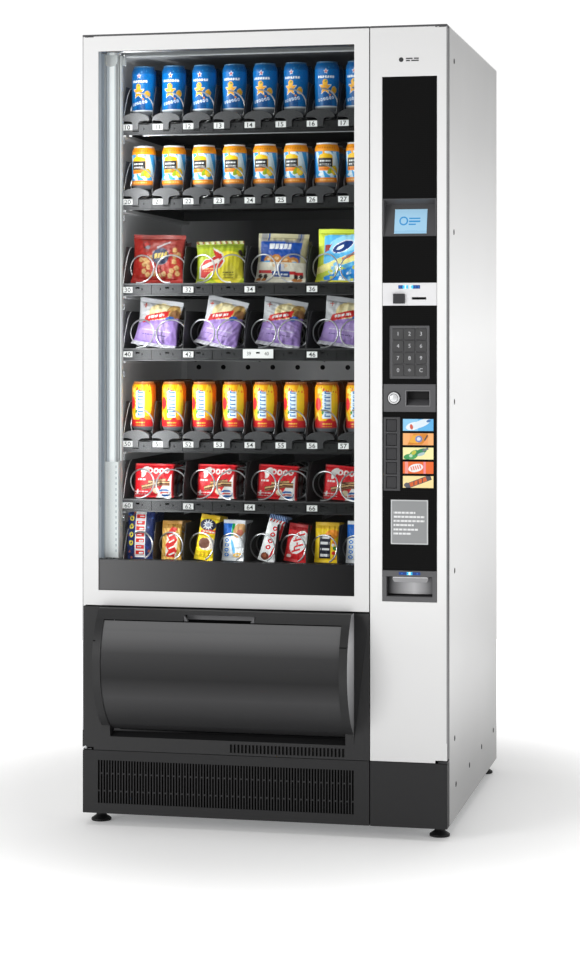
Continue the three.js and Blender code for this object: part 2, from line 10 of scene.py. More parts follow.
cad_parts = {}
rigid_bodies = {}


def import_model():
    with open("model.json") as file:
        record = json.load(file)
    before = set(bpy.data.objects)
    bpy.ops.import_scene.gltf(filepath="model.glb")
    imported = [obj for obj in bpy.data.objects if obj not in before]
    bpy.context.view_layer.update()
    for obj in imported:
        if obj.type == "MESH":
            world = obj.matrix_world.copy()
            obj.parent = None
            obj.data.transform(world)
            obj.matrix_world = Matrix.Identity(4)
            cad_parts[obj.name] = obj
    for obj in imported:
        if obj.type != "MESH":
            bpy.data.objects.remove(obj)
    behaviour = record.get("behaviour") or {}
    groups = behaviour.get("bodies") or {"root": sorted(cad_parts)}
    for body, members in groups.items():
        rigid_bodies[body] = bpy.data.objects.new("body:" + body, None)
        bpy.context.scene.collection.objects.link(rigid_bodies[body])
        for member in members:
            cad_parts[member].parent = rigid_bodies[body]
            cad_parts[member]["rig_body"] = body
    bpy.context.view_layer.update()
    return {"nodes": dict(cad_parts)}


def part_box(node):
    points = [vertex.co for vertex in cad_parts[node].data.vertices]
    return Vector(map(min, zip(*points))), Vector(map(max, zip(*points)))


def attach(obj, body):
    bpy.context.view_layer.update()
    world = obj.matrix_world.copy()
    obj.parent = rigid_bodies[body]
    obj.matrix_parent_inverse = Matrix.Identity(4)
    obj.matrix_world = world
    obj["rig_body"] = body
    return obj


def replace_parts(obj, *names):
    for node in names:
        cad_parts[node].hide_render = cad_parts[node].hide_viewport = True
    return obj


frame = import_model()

# A glass-front snack machine. Shapes are drawn in millimetres with y = 0 on the doors' front
# face and +y into the cabinet; put() moves them into the frame's metres. Trays are numbered from
# the top, and a lane is an eighth of a tray, so that a tray of 4 wide lanes has two for each.

FRONT_Y = 395.0
NODES = frame["nodes"]

TRAY_TOPS = [1641, 1462, 1256, 1101, 884, 741, 593]
TRAY_LANES = [8, 8, 4, 4, 8, 4, 8]
CAN_TRAYS, PACK_TRAYS = (1, 2, 5), (3, 4, 6, 7)
TRAY_LEFT, TRAY_RIGHT = -387.5, 213.5
LANE = (TRAY_RIGHT - TRAY_LEFT) / 8
EDGE_SPAN = (TRAY_LEFT + 0.3, TRAY_RIGHT - 0.3)
TAG_LEVELS = [1631, 1453, 1243, 1089, 875, 728, 580]

# The two coils of a wide lane stand PAIR_REACH to either side of its middle.
WIRE_RADIUS = 1.9
COIL_START, COIL_TURNS, COIL_PITCH = 192.0, 8, 62.75
PAIR_RADIUS, PAIR_RISE, PAIR_REACH = 33.5, 37.5, 36.5
CAN_PITCH = 72.0

# Stock behind the front row is darkened to this share, as little light reaches it.
BACK_SHADE = 0.22


# ---- colour and materials -----------------------------------------------------------------


def linear(color):
    """Linear light from 0..255 display numbers."""
    c = np.asarray(color, float) / 255
    return np.where(c <= 0.04045, c / 12.92, ((c + 0.055) / 1.055) ** 2.4)


def rgba(color, by=1.0):
    return tuple(float(v) for v in np.clip(linear(color) * by, 0, 1)) + (1.0,)


def node(tree, kind, **values):
    made = tree.nodes.new("ShaderNode" + kind)
    for name, value in values.items():
        setattr(made, name, value)
    return made


def noise(tree, where, size, detail):
    made = node(tree, "TexNoise")
    made.inputs["Scale"].default_value = 1 / size
    made.inputs["Detail"].default_value = detail
    tree.links.new(where, made.inputs["Vector"])
    return made.outputs["Fac"]


def multiply(tree, tone, by):
    mix = node(tree, "Mix", data_type="RGBA", blend_type="MULTIPLY")
    mix.inputs["Factor"].default_value = 1
    tree.links.new(tone, mix.inputs[6])
    tree.links.new(by, mix.inputs[7])
    return mix.outputs[2]


def dot_screen(tree, where, tone, pitch, color):
    """The tone in round dots on a regular grid, with the other color between them."""
    cells = node(tree, "TexVoronoi", voronoi_dimensions="3D", feature="F1")
    cells.inputs["Scale"].default_value = 1 / pitch
    cells.inputs["Randomness"].default_value = 0
    tree.links.new(where, cells.inputs["Vector"])
    edge = node(tree, "MapRange")
    edge.inputs["From Min"].default_value = 0.50
    edge.inputs["From Max"].default_value = 0.62
    tree.links.new(cells.outputs["Distance"], edge.inputs["Value"])
    mix = node(tree, "Mix", data_type="RGBA")
    tree.links.new(edge.outputs["Result"], mix.inputs["Factor"])
    tree.links.new(tone, mix.inputs[6])
    mix.inputs[7].default_value = rgba(color)
    return mix.outputs[2]


def faded(tree, tone, axis, stops):
    """The tone times a colour that changes along an axis, from (metres, color) stops: painted light
    and shade.
    """
    split = node(tree, "SeparateXYZ")
    tree.links.new(node(tree, "TexCoord").outputs["Object"], split.inputs[0])
    first, last = stops[0][0], stops[-1][0]
    span = node(tree, "MapRange")
    span.inputs["From Min"].default_value = first
    span.inputs["From Max"].default_value = last
    tree.links.new(split.outputs[axis], span.inputs["Value"])
    ramp = node(tree, "ValToRGB")
    points = ramp.color_ramp.elements
    while len(points) < len(stops):
        points.new(0.5)
    for point, (level, color) in zip(points, stops):
        point.position = (level - first) / (last - first)
        point.color = rgba(color)
    tree.links.new(span.outputs["Result"], ramp.inputs["Fac"])
    return multiply(tree, tone, ramp.outputs["Color"])


def finish(name, color, rough=0.45, *, metal=0.0, vary=0.06, patch=0.12, grain=0.0012, bump=0.12,
           spec=0.5, stretch=None, ink=False, glow=0.0, fade=None, dots=None, depth=0.0003):
    """A surface with patchy tone, uneven gloss and a fine grain. stretch draws the grain out
    along an axis, ink takes the colour from the mesh, and dots and fade are for dot_screen and
    faded."""
    made = bpy.data.materials.new(name)
    made.use_nodes = True
    tree = made.node_tree
    link = tree.links.new
    shader = tree.nodes["Principled BSDF"]
    shader.inputs["Metallic"].default_value = metal
    shader.inputs["Specular IOR Level"].default_value = spec
    where = node(tree, "TexCoord").outputs["Object"]
    if stretch:
        mapping = node(tree, "Mapping")
        mapping.inputs["Scale"].default_value = stretch
        link(where, mapping.inputs["Vector"])
        where = mapping.outputs["Vector"]
    patches = noise(tree, where, patch, 5)
    fine = noise(tree, where, grain, 3)
    mix = node(tree, "Mix", data_type="RGBA")
    link(patches, mix.inputs["Factor"])
    mix.inputs[6].default_value = rgba(color, 1 - vary)
    mix.inputs[7].default_value = rgba(color, 1 + vary)
    tone = mix.outputs[2]
    if ink:
        mix.inputs[6].default_value = (1 - vary,) * 3 + (1,)
        mix.inputs[7].default_value = (1, 1, 1, 1)
        printed = node(tree, "Attribute", attribute_name="ink")
        tone = multiply(tree, printed.outputs["Color"], tone)
    if dots:
        tone = dot_screen(tree, where, tone, *dots)
    if fade:
        tone = faded(tree, tone, *fade)
    link(tone, shader.inputs["Base Color"])
    gloss = node(tree, "MapRange")
    gloss.inputs["To Min"].default_value = max(rough - 0.07, 0.02)
    gloss.inputs["To Max"].default_value = min(rough + 0.07, 1)
    link(patches, gloss.inputs["Value"])
    link(gloss.outputs["Result"], shader.inputs["Roughness"])
    relief = node(tree, "Bump")
    relief.inputs["Strength"].default_value = bump
    relief.inputs["Distance"].default_value = depth
    link(fine, relief.inputs["Height"])
    link(relief.outputs["Normal"], shader.inputs["Normal"])
    if glow:
        link(tone, shader.inputs["Emission Color"])
        shader.inputs["Emission Strength"].default_value = glow
    return made


def greys(axis, blue, *stops):
    """A fade of greys for painted light and shade, from (metres, level) stops, with blue added to
    each one's third number.
    """
    return axis, [(at, (level, level, level + blue)) for at, level in stops]


def window_glass(name):
    """Clear glass that light goes straight through, with a faint smudged sheen."""
    made = bpy.data.materials.new(name)
    made.use_nodes = True
    tree = made.node_tree
    link = tree.links.new
    tree.nodes.remove(tree.nodes["Principled BSDF"])
    clear = node(tree, "BsdfTransparent")
    clear.inputs["Color"].default_value = (0.955, 0.97, 0.965, 1)
    sheen = node(tree, "BsdfGlossy")
    smudge = node(tree, "TexNoise")
    smudge.inputs["Scale"].default_value = 6
    link(node(tree, "TexCoord").outputs["Object"], smudge.inputs["Vector"])
    rough = node(tree, "MapRange")
    rough.inputs["To Min"].default_value = 0.02
    rough.inputs["To Max"].default_value = 0.12
    link(smudge.outputs["Fac"], rough.inputs["Value"])
    link(rough.outputs["Result"], sheen.inputs["Roughness"])
    facing = node(tree, "LayerWeight")
    steep = node(tree, "Math", operation="POWER")
    steep.inputs[1].default_value = 5
    link(facing.outputs["Facing"], steep.inputs[0])
    share = node(tree, "Math", operation="MULTIPLY_ADD")
    share.inputs[1].default_value = 0.8
    share.inputs[2].default_value = 0.006
    link(steep.outputs[0], share.inputs[0])
    both = node(tree, "MixShader")
    link(share.outputs[0], both.inputs["Fac"])
    link(clear.outputs[0], both.inputs[1])
    link(sheen.outputs[0], both.inputs[2])
    link(both.outputs[0], tree.nodes["Material Output"].inputs["Surface"])
    return made


# Painted shade: the white powder coat is painted darker towards the floor.
WHITE_SHADED_LOW = finish("white_powder_coat_shaded_low", (230, 230, 230), 0.42, vary=0.012, patch=0.4, bump=0.10,
               fade=greys("Z", 0, (0.1, 230), (0.6, 241), (1.1, 253), (1.8, 250)))
# Painted shade: the column's white is painted darker at the foot and a little at the top.
COLUMN_WHITE_SHADED = finish("column_powder_coat_shaded", (255, 255, 255), 0.42, vary=0.012, patch=0.4,
                      bump=0.10,
                      fade=greys("Z", 0, (0.15, 206), (0.42, 216), (0.7, 236), (1.3, 240),
                                 (1.8, 222)))
EDGE_GREY = finish("door_edge_grey", (160, 160, 162), 0.5, vary=0.05)
# Painted light and shade: the side is painted brightest at mid height and much darker at the foot and
# the top.
SIDE_WHITE_LIT_AND_SHADED = finish("side_powder_coat_lit_and_shaded", (255, 255, 255), 0.42, vary=0.012, patch=0.4, bump=0.10,
                    fade=greys("Z", 0, (0.1, 148), (0.18, 162), (0.39, 212), (0.575, 236),
                               (0.84, 255), (1.12, 253), (1.36, 221), (1.63, 176), (1.8, 152)))
EDGE_DARK = finish("door_edge_dark", (70, 70, 72), 0.5, vary=0.08)
DARK_PAINT = finish("dark_powder_coat", (36, 36, 37), 0.55, vary=0.08, bump=0.2, spec=0.25)
ZINC = finish("galvanised_sheet", (168, 170, 172), 0.38, metal=0.85, vary=0.16, patch=0.03)
TRAY = finish("tray_powder_coat", (58, 58, 60), 0.5, vary=0.08, bump=0.2, spec=0.25)
# Painted light: the shelf edges are painted lit at the left, by the door lamp, and nearly black at
# the right.
RAIL_LIT_LEFT = finish("shelf_edge_plastic_lit_left", (255, 255, 255), 0.5, vary=0.06, bump=0.15, grain=0.0008,
              spec=0.2, fade=("X", [(-0.39, (74, 74, 76)), (-0.2, (44, 44, 46)), (0.2, (9, 9, 10))]))
# Painted light: the cradles are painted lighter at the left, by the door lamp, and darker to the
# right.
CRADLE_LIT_LEFT = finish("cradle_plastic_lit_left", (255, 255, 255), 0.45, vary=0.06, bump=0.15, grain=0.0008,
                spec=0.25,
                fade=greys("X", 2, (-0.39, 92), (-0.2, 66), (0.2, 46)))
FASCIA = finish("fascia_black_satin", (12, 12, 12), 0.5, vary=0.1, spec=0.06, bump=0.05,
                dots=(0.0042, (24, 24, 24)))
HOOD = finish("hood_moulded_plastic", (35, 35, 36), 0.42, vary=0.05, bump=0.2, grain=0.0009,
              spec=0.3)
# Painted highlight: the hood's cheek is painted brightest near its top and shaded darker below.
CHEEK_HIGHLIGHT = finish("hood_cheek_plastic_highlight", (255, 255, 255), 0.42, vary=0.05, bump=0.2, grain=0.0009,
               spec=0.3, fade=("Z", [(0.235, (96, 96, 97)), (0.36, (158, 158, 160)),
                                     (0.44, (184, 184, 186)), (0.49, (140, 140, 142))]))
# Painted light: the back of the finger recess glows, though it is no lamp.
RECESS_LIT = finish("recess_back_plastic_glow", (112, 112, 114), 0.5, vary=0.12, bump=0.15, glow=0.14)
# Painted reflection: light bands near the flap's top and a third of the way up, with darker bands
# between, stand for its highlights.
FLAP_PAINTED_SHEEN = finish("flap_moulded_plastic_painted_sheen", (255, 255, 255), 0.46, vary=0.05, bump=0.2, grain=0.0009,
              spec=0.2, fade=greys("Z", 1, (0.235, 40), (0.264, 45), (0.309, 62), (0.354, 30),
                                   (0.411, 50), (0.445, 88), (0.47, 98)))
# Painted light: the band is painted lit at the left and shaded dark towards the right.
BAND_LIT_LEFT = finish("band_satin_plastic_lit_left", (255, 255, 255), 0.5, vary=0.05, bump=0.14, spec=0.1,
              fade=greys("X", 1, (-0.39, 96), (-0.1, 54), (0.22, 20)))
GREY = finish("keypad_grey_plastic", (84, 84, 86), 0.45, vary=0.05, bump=0.2, grain=0.0006)
KEY = finish("key_cap_plastic", (60, 60, 61), 0.42, vary=0.05, bump=0.12, grain=0.0006)
MID = finish("lock_plate_plastic", (82, 82, 84), 0.45, vary=0.05, bump=0.2, grain=0.0006)
RIM = finish("pocket_rim_plastic", (122, 122, 124), 0.4, vary=0.05, bump=0.12)
BEZEL = finish("display_bezel_plastic", (70, 70, 72), 0.45, vary=0.06, bump=0.15)
DARK = finish("dark_moulded_plastic", (50, 50, 52), 0.45, vary=0.07, bump=0.2, grain=0.0007,
              spec=0.35)
BLACK = finish("black_moulded_plastic", (18, 18, 19), 0.5, vary=0.1, bump=0.2, spec=0.25)
# Painted shadow: dark fill for the inside of holes, slots, notches and the keyway; it also draws the
# hood's dark parting line.
VOID = finish("open_slot_shadow", (5, 5, 5), 0.8, vary=0.2, spec=0.05)
# Painted light: the liner is painted pale at the left wall, by the door lamp, and dark towards the
# right, and glows faintly.
LINER_LIT_LEFT = finish("liner_dark_plastic_lit_left", (255, 255, 255), 0.55, vary=0.08, bump=0.15, spec=0.2,
               glow=0.06,
               fade=greys("X", 2, (-0.4, 184), (-0.2, 70), (0.22, 72)))
# Painted light: the back-wall strip glows and is painted lighter in patches along it.
STRIP_LIT = finish("back_wall_strip_glow", (255, 255, 255), 0.5, vary=0.1, spec=0.2, glow=0.12,
               fade=greys("X", 2, (-0.36, 140), (-0.31, 142), (-0.25, 180), (-0.14, 172),
                          (-0.04, 222), (0.21, 170)))
LIGHT = finish("light_moulded_plastic", (228, 228, 230), 0.4, vary=0.02, bump=0.1)
PALE = finish("pale_enamel_strip", (196, 197, 200), 0.4, vary=0.04)
STEEL = finish("brushed_strip", (150, 151, 154), 0.34, metal=0.6, vary=0.14, stretch=(8, 8, 0.6))
COOL = finish("cool_grey_strip", (186, 191, 199), 0.45, vary=0.05)
# Painted light: the pale lamp cover and strips glow faintly, though they are no lamp.
COVER_GLOW = finish("lamp_cover_plastic_glow", (236, 237, 239), 0.4, vary=0.05, glow=0.04,
               stretch=(1, 1, 0.2))
# Painted shade and light: the coin flap is painted dark at its ends and light in the middle, as
# shading on its curve, and glows faintly.
CUP_SHADED = finish("coin_cup_curved_grey_shaded", (255, 255, 255), 0.4, vary=0.05, spec=0.3, glow=0.1,
             fade=greys("X", 2, (0.291, 40), (0.301, 78), (0.322, 132), (0.350, 172),
                        (0.374, 136), (0.391, 86)))
DOME = finish("lock_dome_chrome", (226, 227, 229), 0.3, metal=0.35, vary=0.08, bump=0.04)
SELECTOR = finish("selector_frame_plastic", (58, 58, 60), 0.45, vary=0.05, bump=0.12, grain=0.0008)
BAR = finish("coin_cup_bar_grey", (150, 150, 152), 0.4, vary=0.06, spec=0.4)
# Painted reflection: the strips beside the lamp glow as if they mirrored it.
PAINTED_SHEEN = finish("lamp_side_reflector_painted_sheen", (140, 147, 157), 0.4, vary=0.06, glow=0.34,
               stretch=(1, 1, 0.2))
CHROME = finish("lock_chrome", (214, 215, 218), 0.18, metal=1.0, vary=0.05, bump=0.04)
WIRE = finish("bright_spring_wire", (196, 196, 199), 0.34, metal=0.75, vary=0.1, patch=0.02,
              bump=0.05)
# The tube glows as a lamp; its fade paints the sides bluish and grey as shade beside the bright
# middle.
LAMP = finish("lamp_tube_white", (255, 255, 255), 0.3, vary=0.02, glow=0.3,
              fade=("X", [(-0.3860, (176, 181, 189)), (-0.3745, (188, 193, 200)),
                          (-0.3715, (252, 253, 255)), (-0.3625, (252, 253, 255)),
                          (-0.3600, (196, 197, 200)), (-0.3515, (128, 129, 132))]))
# Painted highlight: the divider rims are painted pale, palest at the left by the door lamp.
EDGE_RIM_HIGHLIGHT = finish("divider_rim_painted_highlight", (255, 255, 255), 0.4, vary=0.06, spec=0.3,
                  fade=greys("X", 2, (-0.39, 220), (-0.2, 170), (0.2, 110)))
# Painted light: the cards are painted darker at the left and whitest at the right, as the light falls
# across the window.
CARD_LIT = finish("label_card_painted_light", (255, 255, 255), 0.6, vary=0.03, grain=0.0003, spec=0.2,
              fade=greys("X", 0, (-0.39, 190), (-0.33, 166), (-0.25, 170), (-0.15, 206),
                         (0.2, 250)))
INK = finish("label_ink", (14, 14, 16), 0.6, vary=0.1, grain=0.0003)
LEGEND = finish("key_legend_ink", (200, 201, 204), 0.5, vary=0.05, grain=0.0003)
PRINT = finish("printed_card", (255, 255, 255), 0.45, vary=0.06, ink=True, grain=0.0004)
SCREEN = finish("display_screen", (255, 255, 255), 0.25, vary=0.03, ink=True, glow=0.18)
LED = finish("led_strip", (255, 255, 255), 0.3, vary=0.05, ink=True, glow=0.5)
# Painted light: the cans glow faintly, though they are no lamp.
CAN_GLOW = finish("printed_can_enamel_glow", (255, 255, 255), 0.34, vary=0.08, ink=True, spec=0.3,
             bump=0.04, patch=0.02, glow=0.1)
# Painted light: the bags and packs glow faintly, though they are no lamp.
FOIL_GLOW = finish("printed_foil_film_glow", (255, 255, 255), 0.36, vary=0.12, ink=True, spec=0.3,
              patch=0.012, grain=0.006, bump=0.25, depth=0.0012, glow=0.07)
GLASS = window_glass("toughened_window_glass")


# ---- mesh building ------------------------------------------------------------------------


class Shape:
    """Closed forms gathered into one mesh, with a material number for each face."""

    def __init__(self):
        self.points, self.faces, self.marks, self.colors = [], [], [], []

    def add(self, points, faces, mark=0, colors=None):
        first = len(self.points)
        self.points.extend(tuple(map(float, p)) for p in points)
        self.faces.extend([i + first for i in f] for f in faces)
        self.marks.extend([mark] * len(faces))
        self.colors.extend(
            [(1.0, 1.0, 1.0)] * len(points) if colors is None else [tuple(c) for c in colors])
        return self

    def box(self, x, y, z, mark=0):
        p = [(i, j, k) for k in z for j in y for i in x]
        return self.add(p, [(0, 2, 3, 1), (4, 5, 7, 6), (0, 1, 5, 4), (2, 6, 7, 3), (0, 4, 6, 2),
                            (1, 3, 7, 5)], mark)

    def plate(self, outline, y, mark=0):
        """An x, z outline drawn anticlockwise from the front, from y[0] back to y[1]."""
        n = len(outline)
        p = [(a, y[0], b) for a, b in outline] + [(a, y[1], b) for a, b in outline]
        sides = [(i, i + n, (i + 1) % n + n, (i + 1) % n) for i in range(n)]
        return self.add(p, [tuple(range(n)), tuple(reversed(range(n, 2 * n)))] + sides, mark)

    def tube(self, path, radius=WIRE_RADIUS, mark=0):
        """A round wire along a path of points, with closed ends."""
        sides = 8
        path = np.asarray(path, float)
        ahead = np.gradient(path, axis=0)
        ahead /= np.linalg.norm(ahead, axis=1)[:, None]
        side = np.cross(ahead, (0.13, 0.97, 0.21))
        side /= np.linalg.norm(side, axis=1)[:, None]
        up = np.cross(ahead, side)
        turn = np.arange(sides) * 2 * math.pi / sides
        ring = (path[:, None] + radius * (np.cos(turn)[None, :, None] * side[:, None]
                                          + np.sin(turn)[None, :, None] * up[:, None]))
        n = len(path)
        faces = [(i * sides + j, i * sides + (j + 1) % sides, (i + 1) * sides + (j + 1) % sides,
                  (i + 1) * sides + j) for i in range(n - 1) for j in range(sides)]
        faces += [tuple(reversed(range(sides))), tuple(range((n - 1) * sides, n * sides))]
        return self.add(ring.reshape(-1, 3), faces, mark)

    def spin(self, profile, centre, axis="z", sides=32, mark=0):
        """A closed turned form from (radius, height) pairs, radius 0 at both ends."""
        turn = np.arange(sides) * 2 * math.pi / sides
        p, rows = [], []
        for radius, height in profile:
            if radius == 0:
                rows.append([len(p)] * sides)
                p.append((0, 0, height))
            else:
                rows.append(list(range(len(p), len(p) + sides)))
                p.extend((radius * math.cos(t), radius * math.sin(t), height) for t in turn)
        faces = []
        for low, high in zip(rows, rows[1:]):
            for j in range(sides):
                k = (j + 1) % sides
                face = [low[j], low[k], high[k], high[j]]
                faces.append(tuple(dict.fromkeys(face)))
        p = np.array(p, float)
        if axis == "y":
            p = p[:, [0, 2, 1]] * (1, -1, 1)
        if axis == "x":
            p = p[:, [2, 0, 1]]
        return self.add(p + np.array(centre, float), faces, mark)

    def text(self, words, x, z, y, size, mark=0, wide=1.0, bold=0.0):
        """Figures or letters centred on x, z, as thin raised shapes in front of y."""
        p, faces = glyphs(words, bold)
        middle = (p.max(0) + p.min(0)) / 2
        q = (p - middle) * size
        flat = [(x + a * wide, y - 0.2 if c > 0 else y + 0.05, z + b) for a, b, c in q]
        return self.add(flat, faces, mark)


def arc(cx, cz, rx, rz, a, b, n=10):
    return [(cx + rx * math.cos(math.radians(t)), cz + rz * math.sin(math.radians(t)))
            for t in np.linspace(a, b, n)]


def skin(nu, nv):
    """Faces of a closed sheet: nv rows of nu points in front, and as many again behind."""
    n = nu * nv
    faces = []
    for i in range(nv - 1):
        for j in range(nu - 1):
            a, b = i * nu + j, (i + 1) * nu + j
            faces += [(a, a + 1, b + 1, b), (n + a, n + b, n + b + 1, n + a + 1)]
    rim = (list(range(nu)) + [i * nu + nu - 1 for i in range(1, nv)]
           + [(nv - 1) * nu + j for j in range(nu - 2, -1, -1)]
           + [i * nu for i in range(nv - 2, 0, -1)])
    return faces + [(b, a, a + n, b + n) for a, b in zip(rim, rim[1:] + rim[:1])]


_glyphs = {}


def glyphs(words, bold):
    """Points and faces of a word, one unit high, facing +z, with a small thickness."""
    if (words, bold) not in _glyphs:
        curve = bpy.data.curves.new("glyph", "FONT")
        curve.body = words
        curve.size = 1.4
        curve.extrude = 0.01
        curve.resolution_u = 3
        curve.offset = bold
        holder = bpy.data.objects.new("glyph", curve)
        mesh = bpy.data.meshes.new_from_object(holder)
        p = np.array([v.co for v in mesh.vertices], float)
        _glyphs[words, bold] = p, [tuple(f.vertices) for f in mesh.polygons]
        bpy.data.meshes.remove(mesh)
        bpy.data.objects.remove(holder)
        bpy.data.curves.remove(curve)
    return _glyphs[words, bold]


def put(shape, name, body, mats, *, bevel=0.0, smooth=40, fix=True):
    """Makes the piece, in the frame's metres, riding on its body. fix turns its faces outwards."""
    mesh = bpy.data.meshes.new(name)
    co = (np.array(shape.points, float) - (0, FRONT_Y, 0)) / 1000
    mesh.from_pydata(co.tolist(), [], shape.faces)
    for m in mats:
        mesh.materials.append(m)
    mesh.polygons.foreach_set("material_index", shape.marks)
    if any(m in (PRINT, SCREEN, LED, CAN_GLOW, FOIL_GLOW) for m in mats):
        ink = mesh.color_attributes.new("ink", "FLOAT_COLOR", "POINT")
        flat = np.ones((len(shape.points), 4), np.float32)
        flat[:, :3] = np.array(shape.colors)
        ink.data.foreach_set("color", flat.ravel())
    if fix:
        work = bmesh.new()
        work.from_mesh(mesh)
        bmesh.ops.recalc_face_normals(work, faces=work.faces)
        work.to_mesh(mesh)
        work.free()
    return settle(mesh, name, body, bevel, smooth)


def settle(mesh, name, body, bevel, smooth, steps=2):
    """Shades the mesh, rounds its edges by bevel millimetres and hands it to its body."""
    mesh.polygons.foreach_set("use_smooth", [True] * len(mesh.polygons))
    mesh.set_sharp_from_angle(angle=math.radians(smooth))
    piece = bpy.data.objects.new(name, mesh)
    bpy.context.scene.collection.objects.link(piece)
    if bevel:
        edge = piece.modifiers.new("edge_radius", "BEVEL")
        edge.width = bevel / 1000
        edge.segments = steps
        edge.limit_method = "ANGLE"
        edge.angle_limit = math.radians(smooth)
        edge.use_clamp_overlap = True
        even = piece.modifiers.new("even_shading", "WEIGHTED_NORMAL")
        even.keep_sharp = True
    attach(piece, body)
    return piece


def dress(name, mats, bevel, *, steps=2, pick=None, rejoin=True):
    """A finished version of a CAD node: flat faces rejoined, edges rounded, shading evened.
    pick(centre, normal) chooses the material number of each face, in drawing millimetres."""
    source = NODES[name]
    mesh = source.data.copy()
    mesh.name = name + "_finished"
    work = bmesh.new()
    work.from_mesh(mesh)
    bmesh.ops.remove_doubles(work, verts=work.verts, dist=2e-6)
    if rejoin:
        bmesh.ops.dissolve_limit(work, angle_limit=math.radians(0.6), verts=work.verts,
                                 edges=work.edges)
    work.to_mesh(mesh)
    work.free()
    mesh.materials.clear()
    for m in mats:
        mesh.materials.append(m)
    marks = [0] * len(mesh.polygons)
    if pick:
        for f in mesh.polygons:
            c = f.center * 1000
            marks[f.index] = pick(Vector((c.x, c.y + FRONT_Y, c.z)), f.normal)
    mesh.polygons.foreach_set("material_index", marks)
    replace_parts(settle(mesh, name + "_finished", source["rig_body"], bevel, 40, steps), name)


_trees = {}


def face_y(name, x, z, default=0.0):
    """How deep the front of a CAD node lies at x, z, in drawing millimetres."""
    if name not in _trees:
        mesh = NODES[name].data
        _trees[name] = BVHTree.FromPolygons([v.co for v in mesh.vertices],
                                            [tuple(p.vertices) for p in mesh.polygons])
    hit = _trees[name].ray_cast(Vector((x / 1000, -2, z / 1000)), Vector((0, 1, 0)))[0]
    return default if hit is None else hit.y * 1000 + FRONT_Y


class Paint:
    """Colours of a printed sheet: u to the right and v up, in mm, one shape over another."""

    def __init__(self, u, v, base):
        self.u, self.v = np.asarray(u, float), np.asarray(v, float)
        self.c = np.tile(linear(base), (self.u.size, 1))

    def lay(self, inside, color):
        self.c[inside] = linear(color)
        return self

    def whole(self, color):
        self.c[:] = linear(color)
        return self

    def band(self, low, high, color):
        return self.lay((self.v >= low) & (self.v <= high), color)

    def turned(self, cu, cv, tilt):
        a, b = self.u - cu, self.v - cv
        t = math.radians(tilt)
        return a * math.cos(t) + b * math.sin(t), b * math.cos(t) - a * math.sin(t)

    def box(self, cu, cv, wide, high, color, tilt=0):
        a, b = self.turned(cu, cv, tilt)
        return self.lay((abs(a) < wide / 2) & (abs(b) < high / 2), color)

    def oval(self, cu, cv, wide, high, color, tilt=0):
        a, b = self.turned(cu, cv, tilt)
        return self.lay((2 * a / wide) ** 2 + (2 * b / high) ** 2 < 1, color)

    def ring(self, cu, cv, outer, inner, rim, middle, tilt=0):
        self.oval(cu, cv, *outer, rim, tilt)
        return self.oval(cu, cv, *inner, middle, tilt)

    def shape(self, points, color):
        inside = np.zeros(self.u.size, bool)
        for (ax, ay), (bx, by) in zip(points, points[1:] + points[:1]):
            if ay != by:
                cross = ((ay > self.v) != (by > self.v)) & (
                    self.u < (bx - ax) * (self.v - ay) / (by - ay) + ax)
                inside ^= cross
        return self.lay(inside, color)

    def stripes(self, low, high, pitch, color, slant=0.0):
        part = ((self.u + slant * self.v) / pitch) % 1 < 0.5
        return self.lay(part & (self.v >= low) & (self.v <= high), color)

    def star(self, cu, cv, size, color, tips=5):
        points = []
        for i in range(2 * tips):
            r = size if i % 2 == 0 else size * 0.45
            a = math.pi / 2 + i * math.pi / tips
            points.append((cu + r * math.cos(a), cv + r * math.sin(a)))
        return self.shape(points, color)

    def lines(self, cu, top, wide, rows, pitch, thick, color, seed=1):
        """Rows of short dashes that stand for small print."""
        for row in range(rows):
            level = top - row * pitch
            chop = np.sin(self.u * 1.9 + row * 2.1 + seed) + np.sin(self.u * 0.83 + row + seed)
            part = (abs(self.v - level) < thick / 2) & (abs(self.u - cu) < wide / 2)
            self.lay(part & (chop > -0.9), color)
        return self


# ---- cabinet, doors and controls carried over from the frame ------------------------------


def dark_edge(c, n):
    """The doors' returns behind the white face are dark."""
    if c.x < -385 and n.x > 0.7:
        return 0
    return 1 if c.y > 1.6 and abs(n.y) < 0.6 and (abs(n.x) > 0.7 or abs(n.z) > 0.7) else 0


